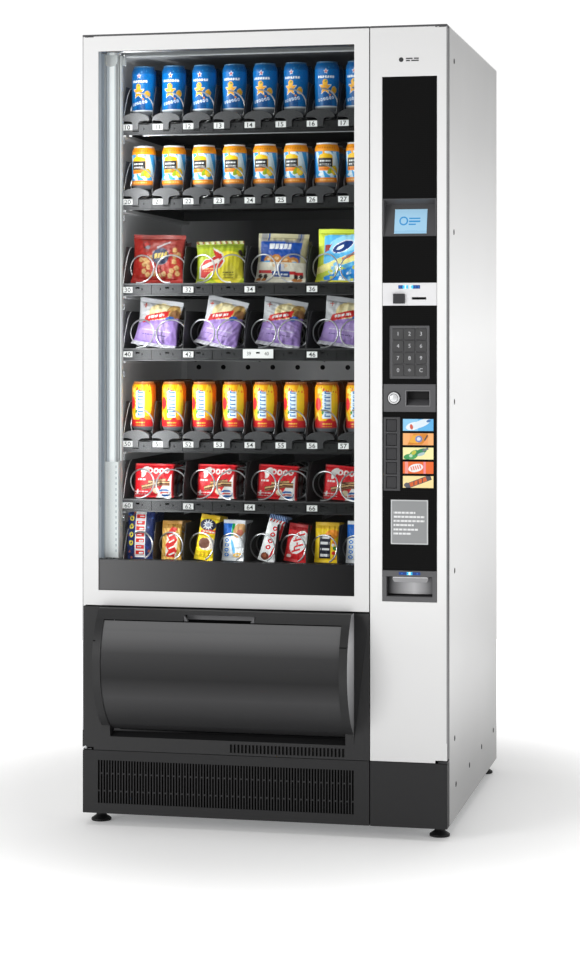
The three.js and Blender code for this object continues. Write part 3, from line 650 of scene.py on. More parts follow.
for part, finish_of, radius, slot in [
    ("left_side_panel", [WHITE_SHADED_LOW], 1.2, "white_paint"),
    ("right_side_panel", [SIDE_WHITE_LIT_AND_SHADED], 1.2, "white_paint"),
    ("top_panel", [WHITE_SHADED_LOW], 0.8, "white_paint"),
    ("rear_panel", [ZINC], 0.5, "zinc_sheet"),
    ("base_frame", [ZINC], 0.6, "zinc_sheet"),
    ("foot_front_left", [BLACK], 0.8, "black_plastic"),
    ("foot_front_right", [BLACK], 0.8, "black_plastic"),
    ("foot_rear_left", [BLACK], 0.8, "black_plastic"),
    ("foot_rear_right", [BLACK], 0.8, "black_plastic"),
    ("cell_liner", [LINER_LIT_LEFT], 0.6, "liner_plastic"),
    ("column_plinth", [DARK_PAINT], 1.2, "dark_paint"),
    ("front_door_hinge_post", [EDGE_DARK], 0.6, "white_paint"),
    ("column_door_hinge_post", [EDGE_DARK], 0.6, "white_paint"),
    ("cooling_unit", [DARK_PAINT], 1.5, "black_plastic"),
    ("band_panel", [BAND_LIT_LEFT], 0.6, "dark_plastic"),
    ("door_lamp", [LAMP], 0.8, "lamp_white"),
    ("delivery_bin", [BLACK], 0.6, "black_plastic"),
    ("delivery_flap", [FLAP_PAINTED_SHEEN], 1.2, "dark_plastic"),
    ("theft_guard", [BLACK], 0.8, "black_plastic"),
    ("fascia_insert", [FASCIA], 0.5, "fascia_black"),
    ("display_bezel", [BEZEL], 0.5, "dark_plastic"),
    ("coin_plate", [LIGHT], 0.7, "light_plastic"),
    ("coin_button", [DARK], 0.8, "dark_plastic"),
    ("lock_plate", [MID], 0.8, "dark_plastic"),
    ("selector_frame", [SELECTOR], 0.6, "grey_plastic"),
    ("coin_cup", [GREY], 0.8, "grey_plastic"),
    ("lock_cylinder", [CHROME], 0.9, "lock_chrome"),
]:
    dress(part, finish_of, radius)

dress("delivery_surround", [HOOD, CHEEK_HIGHLIGHT], 1.4,
      pick=lambda c, n: 1 if n.x > 0.6 and 200 < c.x < 235 else 0)
dress("door_frame", [WHITE_SHADED_LOW, EDGE_DARK], 0.9, pick=dark_edge)
dress("column_panel", [COLUMN_WHITE_SHADED, EDGE_DARK], 0.9, pick=dark_edge)
dress("door_glass", [GLASS], 0.0)
dress("keypad_frame", [GREY], 0.7, rejoin=False)

for part in [n for n in NODES if n.startswith("key_")]:
    dress(part, [KEY], 0.7, steps=3)
for number in range(1, 6):
    dress(f"select_button_{number}", [DARK], 1.2, steps=3)
for number in range(1, 8):
    dress(f"tray_{number}", [TRAY], 0.35)


def coin_flap():
    """The coin cup's flap: a curved plate whose ends stand further back than its middle."""
    low, high = [1000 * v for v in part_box("coin_cup_flap")]
    columns, rows = 24, 6
    thick, end_drop, top_drop = 1.6, 3.57, 0.68
    points = []
    for back in (0.0, thick):
        for v in np.linspace(0, 1, rows + 1):
            for u in np.linspace(0, 1, columns + 1):
                drop = (2 * u - 1) ** 2 * end_drop + v * top_drop
                points.append((low.x + u * (high.x - low.x), low.y + FRONT_Y + drop + back,
                               low.z + v * (high.z - low.z)))
    plate = Shape().add(points, skin(columns + 1, rows + 1))
    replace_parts(put(plate, "coin_cup_flap_finished", "coin_cup_flap", [CUP_SHADED]),
                "coin_cup_flap")


coin_flap()


# ---- feeder coils -------------------------------------------------------------------------


def coil_path(x, z, hand, start, radius, turns=COIL_TURNS, pitch=COIL_PITCH, tall=1.0):
    """A feeder coil from its front end; start is the angle of that end, anticlockwise from +x."""
    points_per_turn = 28
    t = np.linspace(0, turns, int(turns * points_per_turn) + 1)
    angle = math.radians(start) + hand * t * 2 * math.pi
    return np.stack([x + radius * np.cos(angle), COIL_START + t * pitch,
                     z + radius * tall * np.sin(angle)], axis=1)


def pair_axis(lane, top, hand):
    """The x and z of a paired coil's axis. The coil with hand 1 is the left one."""
    return TRAY_LEFT + (lane + 1) * LANE - hand * PAIR_REACH, top + PAIR_RISE


def pair_path(lane, top, hand):
    return coil_path(*pair_axis(lane, top, hand), hand, -90 - 10 * hand, PAIR_RADIUS)


def coils(number):
    """Every coil of a tray that isn't one of the frame's own turning pair."""
    top = TRAY_TOPS[number - 1]
    made = Shape()
    if TRAY_LANES[number - 1] == 8:
        for lane in range(8):
            x = TRAY_LEFT + (lane + 0.5) * LANE
            if number in CAN_TRAYS:
                made.tube(coil_path(x, top + 38.5, -1, 96, 33.6, 6.9, CAN_PITCH, tall=1.06))
            else:
                made.tube(coil_path(x, top + 36, 1, 300, 33.0))
    else:
        for lane in range(2 if number == 3 else 0, 8, 2):
            for hand in (1, -1):
                made.tube(pair_path(lane, top, hand))
    put(made, f"tray_{number}_coils", f"tray_{number}", [WIRE], fix=False)


def turning_coil(name, hand):
    """One of the frame's own pair in lane 30, with the hub that drives it."""
    top = TRAY_TOPS[2]
    x, z = pair_axis(0, top, hand)
    end = COIL_START + COIL_TURNS * COIL_PITCH
    made = Shape().tube(pair_path(0, top, hand))
    made.spin([(0, 0), (7, 0), (7, 6), (4, 8), (4, 14), (0, 14)], (x, end + 12, z), "y", 20)
    made.tube([(x, end, z), (x - hand * 5.8, end, z - 33)])
    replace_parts(put(made, name + "_wire", name, [WIRE], fix=False), name)


for number in range(1, 8):
    coils(number)
turning_coil("spiral_left", 1)
turning_coil("spiral_right", -1)


# ---- shelf edges, cradles and number tags -------------------------------------------------


def mushroom(x, top):
    """Front outline of a can cradle: a shallow dome on a narrow stem."""
    dome = arc(x, top + 7, 34, 17, 0, 180, 22)
    left = arc(x - 21, top - 3, 14, 8, 90, 0, 6)
    right = arc(x + 21, top - 3, 14, 8, 180, 90, 6)
    return (dome + [(x - 33, top + 5)] + left + [(x - 7, top - 16), (x + 7, top - 16)] + right
            + [(x + 33, top + 5)])


def can_edge(number):
    """The can trays' shelf edge, with a cradle and two can rails for each lane."""
    top = TRAY_TOPS[number - 1]
    edge = Shape()
    edge.box(EDGE_SPAN, (177, 183.6), (top - 26, top - 1))
    edge.box(EDGE_SPAN, (174.5, 183.6), (top - 28.5, top - 26))
    for i in range(8):
        left = TRAY_LEFT + i * LANE
        x = left + LANE / 2
        edge.plate(mushroom(x, top), (171.5, 190), 1)
        for side in (-24, 24):
            edge.box((x + side - 2, x + side + 2), (190, 724), (top + 14, top + 17.4), 1)
        # A slot under the stem and an arrow notch, painted dark as shadow.
        edge.box((x - 9, x + 7), (176.4, 177.4), (top - 20.5, top - 18.6), 2)
        edge.plate([(x + 18, top - 17), (x + 21.5, top - 14.5), (x + 18, top - 10.5)],
                   (176.4, 177.4), 2)
        edge.box((left + 1.0, left + 2.2), (175.6, 177.2), (top - 25, top - 5))
        edge.box((x + 9, left + LANE - 2), (176.5, 177.5), (top - 3.6, top - 1.6), 2)
    put(edge, f"tray_{number}_edge", f"tray_{number}", [RAIL_LIT_LEFT, CRADLE_LIT_LEFT, VOID],
        bevel=0.9, smooth=30)


def plain_edge(number):
    """The wide lanes' shelf edge: a channel with a lighter lip, and clip holes and arrow notches
    painted dark as shadow.
    """
    top = TRAY_TOPS[number - 1]
    edge = Shape()
    low = top - 25
    edge.box(EDGE_SPAN, (178, 183.6), (low, top + 0.5))
    edge.box(EDGE_SPAN, (174, 183.6), (top - 1.0, top + 2.4), 1)
    edge.box(EDGE_SPAN, (175, 183.6), (low - 2.5, low), 1)
    for i in range(8):
        left = TRAY_LEFT + i * LANE
        edge.box((left - 0.5, left + 0.7), (177.4, 178.4), (low, top - 1), 2)
        near = 36 if i % 2 == 0 else 34
        edge.box((left + near, left + near + 10), (177.3, 178.3), (top - 10.5, top - 6.2), 2)
        for at in ((51,) if i % 2 == 0 else (21, 52)):
            edge.plate([(left + at, top - 15), (left + at + 3.6, top - 12),
                        (left + at, top - 8)], (177.3, 178.3), 2)
        edge.box((left + 34, left + LANE - 9), (176.9, 178.1), (low + 1.6, low + 3.2), 1)
    put(edge, f"tray_{number}_edge", f"tray_{number}", [RAIL_LIT_LEFT, CRADLE_LIT_LEFT, VOID],
        bevel=0.5, smooth=30)


def divider_fronts(number):
    """The dividers' sloping front edges, with a folded rim painted paler as a highlight."""
    top, lanes = TRAY_TOPS[number - 1], TRAY_LANES[number - 1]
    made = Shape()
    for i in range(lanes + 1):
        x = TRAY_LEFT + i * (TRAY_RIGHT - TRAY_LEFT) / lanes
        x = min(max(x, TRAY_LEFT + 1.4), TRAY_RIGHT - 1.4)
        edge = [(190, 3), (199, 26), (212, 50), (228, 72), (246, 88), (258, 91.4)]
        n = len(edge) + 1
        side = [(y, top + h) for y, h in edge] + [(258, top + 3)]
        points = [(x + a, y, z) for a in (-0.6, 0.6) for y, z in side]
        faces = [tuple(range(n)), tuple(reversed(range(n, 2 * n)))]
        faces += [(j, (j + 1) % n, (j + 1) % n + n, j + n) for j in range(n)]
        made.add(points, faces, 0)
        made.tube([(x, y, top + h) for y, h in edge], 1.15, mark=1)
    put(made, f"tray_{number}_divider_fronts", f"tray_{number}", [TRAY, EDGE_RIM_HIGHLIGHT],
        smooth=50)


def tags(number):
    """White number tags, one a lane."""
    top, lanes = TRAY_TOPS[number - 1], TRAY_LANES[number - 1]
    level = TAG_LEVELS[number - 1]
    front, back = 174.6, 176.2
    made = Shape()
    for i in range(0, 8, 8 // lanes):
        x = TRAY_LEFT + i * LANE + 16.7
        made.box((x - 12.5, x + 12.5), (front, back), (level - 7, level + 7))
        made.box((x - 11.5, x + 11.5), (back, 178), (level - 5, level + 5), 2)
        made.text(f"{number}{i}", x + 0.4, level, front, 10.6, 1, 1.1, 0.014)
    put(made, f"tray_{number}_tags", f"tray_{number}", [CARD_LIT, INK, RAIL_LIT_LEFT],
        bevel=0.25)


def strip_label():
    """The wide card with two numbers and a slot painted dark as shadow, clipped to the fourth tray.
    """
    front = 173.2
    made = Shape()
    made.box((-86.5, -13), (front, front + 1), (1080, 1101.5))
    made.box((-54.5, -45.5), (front - 0.3, front + 0.2), (1091, 1095), 2)
    for words, x in (("39", -72), ("40", -29)):
        made.text(words, x, 1091, front, 8.6, 1, 0.9)
    put(made, "tray_4_strip_label", "tray_4", [CARD_LIT, INK, VOID], bevel=0.2)


for number in CAN_TRAYS:
    can_edge(number)
for number in PACK_TRAYS:
    plain_edge(number)
for number in range(1, 8):
    divider_fronts(number)
    tags(number)
strip_label()


# ---- stock --------------------------------------------------------------------------------

def can(made, x, y, z, high, paint, rim, turn=0.0, fine=True):
    """A drink can, high mm tall on its base z, with a coloured rim. paint(paper, high) prints
    the sleeve, which is drawn 33 mm to the radian and starts turn degrees from the front."""
    radius, foot, shoulder = 28.9, 11.5, high - 15
    profile = [(0, 7), (12, 6.2), (18.5, 4), (21.6, 0.4), (22.8, 0), (24, 0.8), (25.2, 3.5),
               (27.2, 7.5), (radius, foot)]
    profile += [(radius, h) for h in np.linspace(foot, shoulder, 66 if fine else 12)[1:]]
    profile += [(radius - 0.5, shoulder + 3), (27.4, shoulder + 6.5), (25.6, high - 4.5),
                (24.6, high - 2.8), (25.3, high - 1.2), (25.0, high), (24.1, high - 0.4),
                (23.3, high - 3), (0, high - 3.2)]
    front = np.linspace(-105, 105, 86 if fine else 14)
    turns = np.radians(np.concatenate([front, np.linspace(105, 255, 12)[1:-1]]))
    r, h = (np.array(values)[:, None] for values in zip(*profile))
    n, m = len(profile), len(turns)
    v = np.repeat(h, m, axis=1)
    points = np.stack([x + r * np.sin(turns), y - r * np.cos(turns), z + v], axis=2)
    u = np.repeat((turns[None] + math.radians(turn)) * 33.0, n, axis=0)
    paper = Paint(u.ravel(), v.ravel(), (198, 200, 204))
    paint(paper, high)
    paper.lay(paper.v < 8.5, (112, 116, 122)).lay(paper.v > high - 3.4, rim)
    if not fine:
        paper.c *= BACK_SHADE
    faces = [(i * m + j, i * m + (j + 1) % m, (i + 1) * m + (j + 1) % m, (i + 1) * m + j)
             for i in range(n - 1) for j in range(m)]
    made.add(points.reshape(-1, 3), faces, 0, paper.c)


def blue_can(paper, high):
    paper.band(9, high + 1, (2, 108, 182))
    paper.lay((paper.v > high - 18), (8, 88, 150))
    paper.lay((paper.v < 46) & (np.sin(paper.u * 0.11 + 1) > 0.1), (2, 80, 146))
    paper.band(9, 12.5, (236, 240, 244))
    paper.star(0, high - 24, 7.4, (232, 238, 244))
    paper.star(0, high - 24, 4.6, (206, 44, 48))
    for i in range(7):
        paper.box(-21 + 7 * i, high - 37, 5.4, 5.0, (240, 243, 246), 8 if i % 2 else -6)
    paper.star(-2, high - 62, 19.5, (246, 244, 236), 5)
    paper.star(-2, high - 62, 17.5, (240, 170, 40), 5)
    paper.oval(-2, high - 50, 15, 15, (244, 184, 52))
    paper.oval(0, high - 47, 5, 4, (120, 150, 50))
    paper.ring(24, high - 68, (17, 17), (14, 14), (248, 214, 120), (240, 178, 44))
    for i in range(6):
        paper.ring(-20 + 8 * i, high - 92 + 1.3 * i, (6, 8), (2.6, 4), (226, 236, 246),
                   (14, 100, 190), 30)
    paper.oval(12, high - 80, 5, 4, (240, 150, 40))
    for i in range(22):
        paper.oval(-36 + (i * 23) % 71, 16 + (i * 37) % (high - 20), 2.6, 1.8,
                   (60, 150, 212) if i % 2 else (0, 66, 126), 40 * i)


def fruit_can(paper, high):
    paper.band(9, high + 1, (58, 158, 222))
    paper.lay((abs(((paper.u + 0.35 * paper.v + 500) % 27) - 13) < 5.5)
              & (paper.v < high - 22), (206, 232, 246))
    paper.oval(10, 54, 40, 62, (226, 240, 248), 20)
    paper.lay(paper.u < -33, (20, 96, 176))
    paper.band(high - 20, high - 4, (240, 152, 22))
    for i in range(8):
        paper.box(-24 + 7 * i, high - 13, 4.2, 3.2, (196, 112, 30))
    paper.box(-5, high - 28, 6, 16, (240, 160, 30), 12)
    paper.oval(-1, high - 33, 40, 15, (248, 196, 20))
    paper.box(-2, high - 47, 42, 23, (196, 150, 66))
    paper.box(-2, high - 47, 39, 20.5, (44, 44, 46))
    paper.lines(-2, high - 43, 30, 2, 8, 3.6, (226, 228, 230))
    paper.box(-2, high - 62, 40, 8, (236, 130, 30))
    paper.lines(-2, high - 62, 30, 1, 8, 2, (170, 84, 24), 3)
    paper.oval(17, high - 64, 30, 13, (150, 172, 40), 34)
    paper.oval(25, high - 66, 20, 22, (250, 204, 24))
    paper.oval(25, high - 69, 10, 10, (252, 226, 90))
    paper.oval(-15, high - 75, 16, 7, (240, 244, 248), 15)
    paper.band(9, 20, (238, 138, 34))
    paper.lines(0, 15, 44, 1, 8, 4, (250, 190, 110), 2)
    paper.band(9, 10.4, (236, 238, 240))


def bitter_can(paper, high):
    paper.band(9, high + 1, (240, 160, 8))
    paper.lay(abs(paper.u + 6) < 15, (246, 184, 12)).lay(paper.u > 30, (206, 104, 18))
    paper.oval(26, 72, 24, 84, (252, 212, 44))
    paper.oval(-16, high - 26, 16, 26, (250, 220, 90), 30)
    paper.band(high - 8, high + 1, (176, 88, 30))
    for i, (a, b, w, h) in enumerate([(-24, 66, 22, 30), (-22, 88, 10, 8), (26, 24, 20, 26),
                                      (-6, 100, 7, 5), (30, 94, 6, 6)]):
        paper.oval(a, b, w, h, (222, 44, 52) if i % 3 == 0 else (240, 140, 40), 20 * i)
    paper.oval(-24, 30, 14, 34, (250, 214, 80), 10)
    paper.oval(-26, 28, 7, 22, (200, 90, 30), 10)
    paper.band(9, 26, (214, 40, 44))
    paper.lay((paper.v < 34) & (np.sin(paper.u * 0.16) * 6 + 26 > paper.v), (214, 40, 44))
    paper.star(2, high - 22, 5, (196, 40, 80))
    paper.lines(2, high - 29, 34, 1, 8, 2.6, (112, 70, 92), 4)
    paper.box(3, 63, 23, 62, (222, 236, 246))
    for i in range(7):
        paper.oval(-5, 37 + 9 * i, 11, 9.4, (222, 236, 246))
        paper.box(4, 37 + 9 * i, 16, 3.0, (28, 92, 160))
        paper.oval(-2, 41 + 9 * i, 6, 3.8, (70, 140, 196))
    for i in range(16):
        paper.oval(-30 + (i * 17) % 61, high - 7 - (i * 5) % 17, 3.4, 2.4,
                   (150, 66, 26) if i % 2 else (252, 206, 90), 30 * i)
    paper.oval(-9, 46, 7, 9, (60, 130, 60), -20)
    paper.lines(3, 19, 26, 2, 6, 2.4, (248, 196, 70), 6)


def cans(number, paint, high, base, rim):
    """A tray of cans: a finely drawn front row and plainer, darker ones behind."""
    z = TRAY_TOPS[number - 1] + base
    first = COIL_START + 42
    twist = [9, 2, 8, 3, 7, 11, -6, 8]
    front, rear = Shape(), Shape()
    for i in range(8):
        x = TRAY_LEFT + (i + 0.5) * LANE
        can(front, x + 3, first, z, high, paint, rim, twist[i])
        for depth in range(1, 5 if i > 0 else 6):
            can(rear, x + 1, first + CAN_PITCH * depth, z, high, paint, rim,
                37 * depth + 60 * i, fine=False)
    for name, made in (("front_cans", front), ("rear_cans", rear)):
        put(made, f"tray_{number}_{name}", f"tray_{number}", [CAN_GLOW], fix=False,
            smooth=50)


cans(1, blue_can, 118, 22, (60, 100, 134))
cans(2, fruit_can, 103, 24, (206, 208, 212))
cans(5, bitter_can, 117, 22, (170, 110, 62))


def ripple(a, b, seed, waves=5, size=1.0):
    """Smooth uneven swell over a sheet, -1..1."""
    draw = np.random.RandomState(seed)
    total = np.zeros_like(a)
    for _ in range(waves):
        angle, long = draw.uniform(0, 3.14), draw.uniform(9, 34) * size
        shift = draw.uniform(0, 6.28)
        total += np.sin((a * math.cos(angle) + b * math.sin(angle)) * 6.28 / long + shift)
    return total / waves


def film_bag(size, seed, seal, flare, tuck, crease, boxy, fine):
    """The form of a filled bag: two crowned sheets that meet in crimped seals at foot and head.
    Gives the print's u and v, then x and z in space and the y of the front and back sheets."""
    wide, high, thick = size
    nu, nv = (58, 66) if fine else (16, 18)
    edge = seal / high
    rows = np.unique(np.concatenate([np.linspace(0, edge, 6),
                                     np.linspace(edge, 1 - edge, nv - 12),
                                     np.linspace(1 - edge, 1, 6)]))
    q, s = np.meshgrid(rows, np.linspace(-1, 1, nu), indexing="ij")
    u, v = s * wide / 2, q * high

    inner = np.clip((q - edge) / (1 - 2 * edge), 0, 1)
    crown = np.clip(1 - abs(s) ** boxy, 0, 1) ** 0.62 * np.sin(math.pi * inner) ** 0.45
    near = np.exp(-np.minimum(inner, 1 - inner) * high / 13) * (inner > 0) * (inner < 1)
    folds = np.cos(s * 15 + seed) * near * 1.5 + np.cos(s * 27 + 2 * seed) * near * 0.8
    swell = ripple(u, v, seed) * 1.3 + ripple(u, v, seed + 7, 4, 0.5) * 0.55
    relief = (folds + swell) * crease * np.clip(crown * 2.2, 0, 1)
    crimp = np.where((inner <= 0) | (inner >= 1), np.sin(v * 2.6) * 0.28, 0)
    kick = flare * np.clip(1 - q * high / (seal * 1.6), 0, 1) ** 1.3
    wave = np.sin(s * 3.3 + seed) * 2.0 * (np.clip((q - 0.8) * 5, 0, 1)
                                           + np.clip((0.12 - q) * 8, 0, 1))
    saw = np.zeros_like(q)
    saw[-1] = (np.arange(nu) % 2) * 1.5
    saw[0] = -(np.arange(nu) % 2) * 1.2

    x = s * (wide / 2 * (1 - tuck * np.sin(math.pi * q) ** 1.5))
    film = 0.25
    front = -(thick / 2 * crown + relief) + crimp - kick + wave - film
    back = thick / 2 * crown + relief * 0.6 + crimp - kick + wave + film
    return u, v, x, v + saw, (front, back)


def pouch(name, tray, at, size, paint, *, lean=6.0, roll=0.0, yaw=0.0, seed=1, seal=9.0,
          flare=0.0, tuck=0.05, fine=True, crease=1.0, boxy=2.6, bright=1.0,
          shade=BACK_SHADE):
    """A printed film bag on its tray. at is the middle of its foot, and flare is how far the
    bottom seal kicks out to the front. bright lifts the print, and shade darkens it on the packs
    further back."""
    u, v, x, z, ys = film_bag(size, seed, seal, flare, tuck, crease, boxy, fine)
    tilt = np.array(Matrix.Rotation(math.radians(yaw), 3, "Z")
                    @ Matrix.Rotation(math.radians(roll), 3, "Y")
                    @ Matrix.Rotation(math.radians(-lean), 3, "X"))
    points = [np.stack([x, y, z], axis=2).reshape(-1, 3) @ tilt.T + np.array(at, float)
              for y in ys]
    paper = Paint(u.ravel(), v.ravel(), (255, 255, 255))
    paint(paper, size[0], size[1])
    paper.c *= bright if fine else bright * shade
    rows, columns = u.shape
    made = Shape().add(np.concatenate(points), skin(columns, rows), 0, np.tile(paper.c, (2, 1)))
    piece = put(made, name, f"tray_{tray}", [FOIL_GLOW], fix=False, smooth=70)


def red_bag(p, w, h):
    p.whole((196, 52, 42))
    p.band(h * 0.62, h + 5, (166, 58, 50))
    p.lay(p.u < -w * 0.24 - 0.2 * (p.v - h * 0.4), (190, 46, 38))
    draw = np.random.RandomState(4)
    for _ in range(60):
        p.oval(draw.uniform(-w / 2, w / 2), draw.uniform(8, h), 1.6, 1.6, (222, 110, 84))
    p.oval(-0.23 * w, 0.78 * h, 17, 18, (60, 40, 44))
    p.oval(-0.23 * w, 0.79 * h, 13, 13, (200, 60, 56))
    p.oval(-0.2 * w, 0.73 * h, 12, 9, (150, 152, 160))
    for a, b in [(-42, 56), (-30, 55), (-33, 44), (-24, 49), (-33, 28), (-22, 37), (-23, 20),
                 (-8, 22), (6, 17), (18, 22), (33, 19), (44, 52), (44, 80), (54, 69), (45, 66),
                 (50, 37), (38, 30), (52, 24), (-16, 61)]:
        p.oval(a, b, 12.5, 13.5, (184, 120, 60))
        p.oval(a - 0.6, b + 0.8, 10.6, 11.4, (232, 190, 128))
        p.oval(a + 1, b - 1, 5, 5, (214, 162, 98))
    p.ring(9, 0.55 * h, (44, 42), (42, 40), (148, 150, 160), (26, 42, 84))
    p.box(9, 0.57 * h, 32, 12, (238, 206, 92), 8)
    for i in range(3):
        p.box(1 + 8 * i, 0.57 * h, 2.4, 14, (26, 42, 84), -12)
    p.box(14, 0.79 * h, 34, 4.2, (206, 208, 212), 24)
    p.band(-5, 3, (168, 40, 36))


def lime_bag(p, w, h):
    p.whole((180, 196, 44))
    p.oval(20, 0.35 * h, 90, 80, (244, 230, 60), 20)
    p.band(0.82 * h, h + 5, (160, 178, 52))
    p.stripes(h - 6.5, h + 5, 7, (152, 40, 34), 0.5)
    p.stripes(h - 6.5, h + 5, 14, (228, 232, 190), 0.5)
    blade = [(-50, 12), (-50, 40), (-38, 56), (-22, 58), (-8, 66), (-16, 86), (10, 70), (14, 50),
             (4, 36), (-22, 24), (-38, 8)]
    p.shape(blade, (236, 236, 232))
    p.shape([(a * 0.9 - 2.6, b * 0.9 + 4.2) for a, b in blade], (206, 48, 40))
    p.box(-22, 45, 48, 9, (240, 236, 226), 22)
    p.lines(-20, 34, 36, 2, 6, 2.6, (236, 180, 120), 2)
    p.shape([(0, 18), (30, 46), (54, 10), (40, -5), (10, -5)], (250, 236, 84))
    p.lines(22, 24, 26, 3, 6, 1.8, (120, 112, 50), 5)
    p.oval(52, 72, 10, 18, (60, 40, 40), 30)


def blue_bag(p, w, h):
    p.whole((150, 150, 152))
    p.box(-2, h - 7, w * 0.6, 16, (206, 198, 160))
    p.lay(p.u > w * 0.4, (202, 192, 150))
    p.lay(p.u < -w * 0.44, (196, 190, 160))
    p.box(-w * 0.28, h - 8, 3, 18, (20, 78, 160))
    p.box(w * 0.34, h - 8, 3, 18, (20, 78, 160))
    p.shape([(-w * 0.42, 0.42 * h), (w * 0.38, 0.36 * h), (w * 0.4, 0.82 * h), (-w * 0.44, 0.84 * h)],
            (16, 76, 168))
    p.box(-3, 0.73 * h, 56, 12, (240, 242, 246))
    for i in range(4):
        p.box(-17 + 11 * i, 0.73 * h, 2.2, 13, (16, 76, 168), -8)
    for a, b, t in [(-30, 58, 12), (-10, 60, -10), (14, 57, 8), (34, 54, -8)]:
        p.oval(a, b - 4, 27, 21, (150, 84, 36), t)
        p.oval(a, b - 3, 25, 18, (206, 136, 62), t)
        p.oval(a, b - 3, 11, 6, (238, 206, 160), t)
    p.oval(-38, 47, 24, 8, (60, 160, 224), 10)
    p.oval(40, 44, 24, 10, (60, 160, 224), -10)
    p.band(-5, 0.4 * h, (234, 228, 210))
    p.oval(0, 40, 40, 12, (236, 200, 160))
    p.box(0, 36, 22, 16, (214, 216, 226))
    p.box(0, 36, 4, 18, (40, 84, 150))
    p.box(-38, 25, 34, 8, (206, 36, 40), 2)
    p.box(40, 22, 34, 8, (206, 36, 40), -6)
    p.box(2, 20, 46, 13, (28, 72, 150))
    p.lines(2, 20, 34, 1, 6, 3.6, (226, 232, 240), 3)
    for a in (-50, -37, 40, 52):
        p.oval(a, 14, 10, 11, (60, 44, 40))
        p.oval(a - 4, 6, 13, 8, (196, 124, 60))


def sky_bag(p, w, h):
    p.whole((190, 204, 66))
    p.shape([(-w * 0.36, 0.34 * h), (w * 0.6, 0.16 * h), (w * 0.6, 0.9 * h), (-w * 0.36, 0.88 * h)],
            (90, 178, 228))
    p.oval(8, 0.72 * h, 90, 42, (150, 212, 240), 14)
    p.shape([(-46, 88), (-28, 90), (-36, 74), (-46, 70)], (150, 50, 44))
    p.ring(0, 0.66 * h, (58, 26), (54, 22), (240, 240, 240), (22, 56, 122), 26)
    p.oval(-6, 0.64 * h, 20, 8, (240, 244, 248), 30)
    p.shape([(-w * 0.5, 18), (-w * 0.5, 34), (w * 0.5, 84), (w * 0.5, 62)], (244, 232, 150))
    p.box(18, 62, 40, 7, (206, 90, 60), 27)
    p.shape([(-w * 0.36, 12), (w * 0.5, 52), (w * 0.5, -5), (-w * 0.3, -5)], (40, 136, 214))
    draw = np.random.RandomState(9)
    for _ in range(26):
        a, b = draw.uniform(-30, w / 2), draw.uniform(4, 44)
        p.oval(a, b, draw.uniform(6, 15), draw.uniform(5, 9),
               [(236, 240, 236), (128, 190, 232), (206, 206, 80)][draw.randint(3)],
               draw.uniform(0, 90))
    p.band(-5, 4, (214, 206, 70))


def lilac_bag(shift):
    def paint(p, w, h):
        p.whole((214, 214, 218))
        p.band(h - 11, h + 5, (196, 197, 202))
        p.oval(4 + shift, 0.7 * h, 62, 54, (244, 224, 168), 10)
        p.oval(8 + shift, 0.76 * h, 40, 30, (250, 236, 190), 10)
        p.oval(36, 0.78 * h, 34, 34, (186, 150, 88), 30)
        p.oval(42, 0.7 * h, 26, 28, (140, 98, 62), 30)
        p.lay((p.v < 0.56 * h + 0.22 * p.u) & (p.v < 0.66 * h), (164, 134, 204))
        p.oval(-6, 0.3 * h, 96, 40, (178, 150, 216), 12)
        p.oval(20, 0.34 * h, 30, 44, (190, 164, 224), -20)
        p.oval(30, 0.62 * h, 22, 12, (34, 92, 170), 18)
        p.shape([(-40, 0.47 * h), (-34, 0.62 * h), (26, 0.79 * h), (24, 0.64 * h)], (208, 40, 40))
        p.box(-6, 0.635 * h, 42, 6, (240, 236, 236), 16)
        for i in range(4):
            p.box(-20 + 10 * i, 0.6 * h + 2.9 * i, 2.2, 8, (208, 40, 40))
        p.box(-38, 0.85 * h, 2.4, 12, (190, 70, 50))
        p.box(-38, 0.84 * h, 12, 2.0, (190, 70, 50))
        p.lines(0, 0.34 * h, 74, 1, 6, 2.6, (232, 226, 242), 2)
        p.lines(-4, 0.25 * h, 60, 1, 6, 2.0, (84, 62, 130), 5)
        p.band(-5, 10.5, (236, 236, 238))
        p.stripes(-5, 10.5, 2.2, (214, 214, 218))
    return paint


def wafer_pack(p, w, h):
    p.whole((220, 28, 40))
    p.lay(abs(p.u) > w * 0.455, (150, 30, 34))
    p.oval(-22, 0.82 * h, 22, 15, (244, 240, 238), 24)
    p.oval(-26, 0.7 * h, 10, 18, (244, 240, 238), -20)
    for i, (a, b) in enumerate([(-10, 0.8), (4, 0.79), (18, 0.79), (31, 0.8)]):
        p.oval(a, b * h, 13, 14, (246, 242, 240))
        p.oval(a, b * h, 5.4, 7, (220, 28, 40), 12 * i)
    p.lines(-30, 0.52 * h, 18, 1, 6, 4, (244, 236, 236), 3)
    p.shape([(w * 0.44, 0.72 * h), (w * 0.44, -5), (2, -5), (20, 26), (34, 40)], (246, 244, 242))
    for a, b, t in [(8, 0.46, 8), (18, 0.42, 0), (-8, 0.34, 14)]:
        p.box(a, b * h, 44, 12, (96, 52, 34), t)
        p.box(a, b * h + 2.4, 44, 3.6, (214, 176, 120), t)
        p.box(a, b * h - 3.6, 44, 2, (166, 110, 70), t)
    p.oval(6, 0.2 * h, 15, 14, (240, 222, 190))
    p.oval(26, 0.14 * h, 30, 18, (36, 104, 184))
    p.box(25, 0.14 * h, 28, 8, (242, 240, 240), 4)
    p.box(25, 0.14 * h, 22, 3, (220, 60, 60), 4)
    p.lines(-30, 0.16 * h, 34, 2, 6, 2, (244, 226, 226), 6)
    p.box(-40, 0.16 * h, 4, 10, (244, 240, 240), -12)


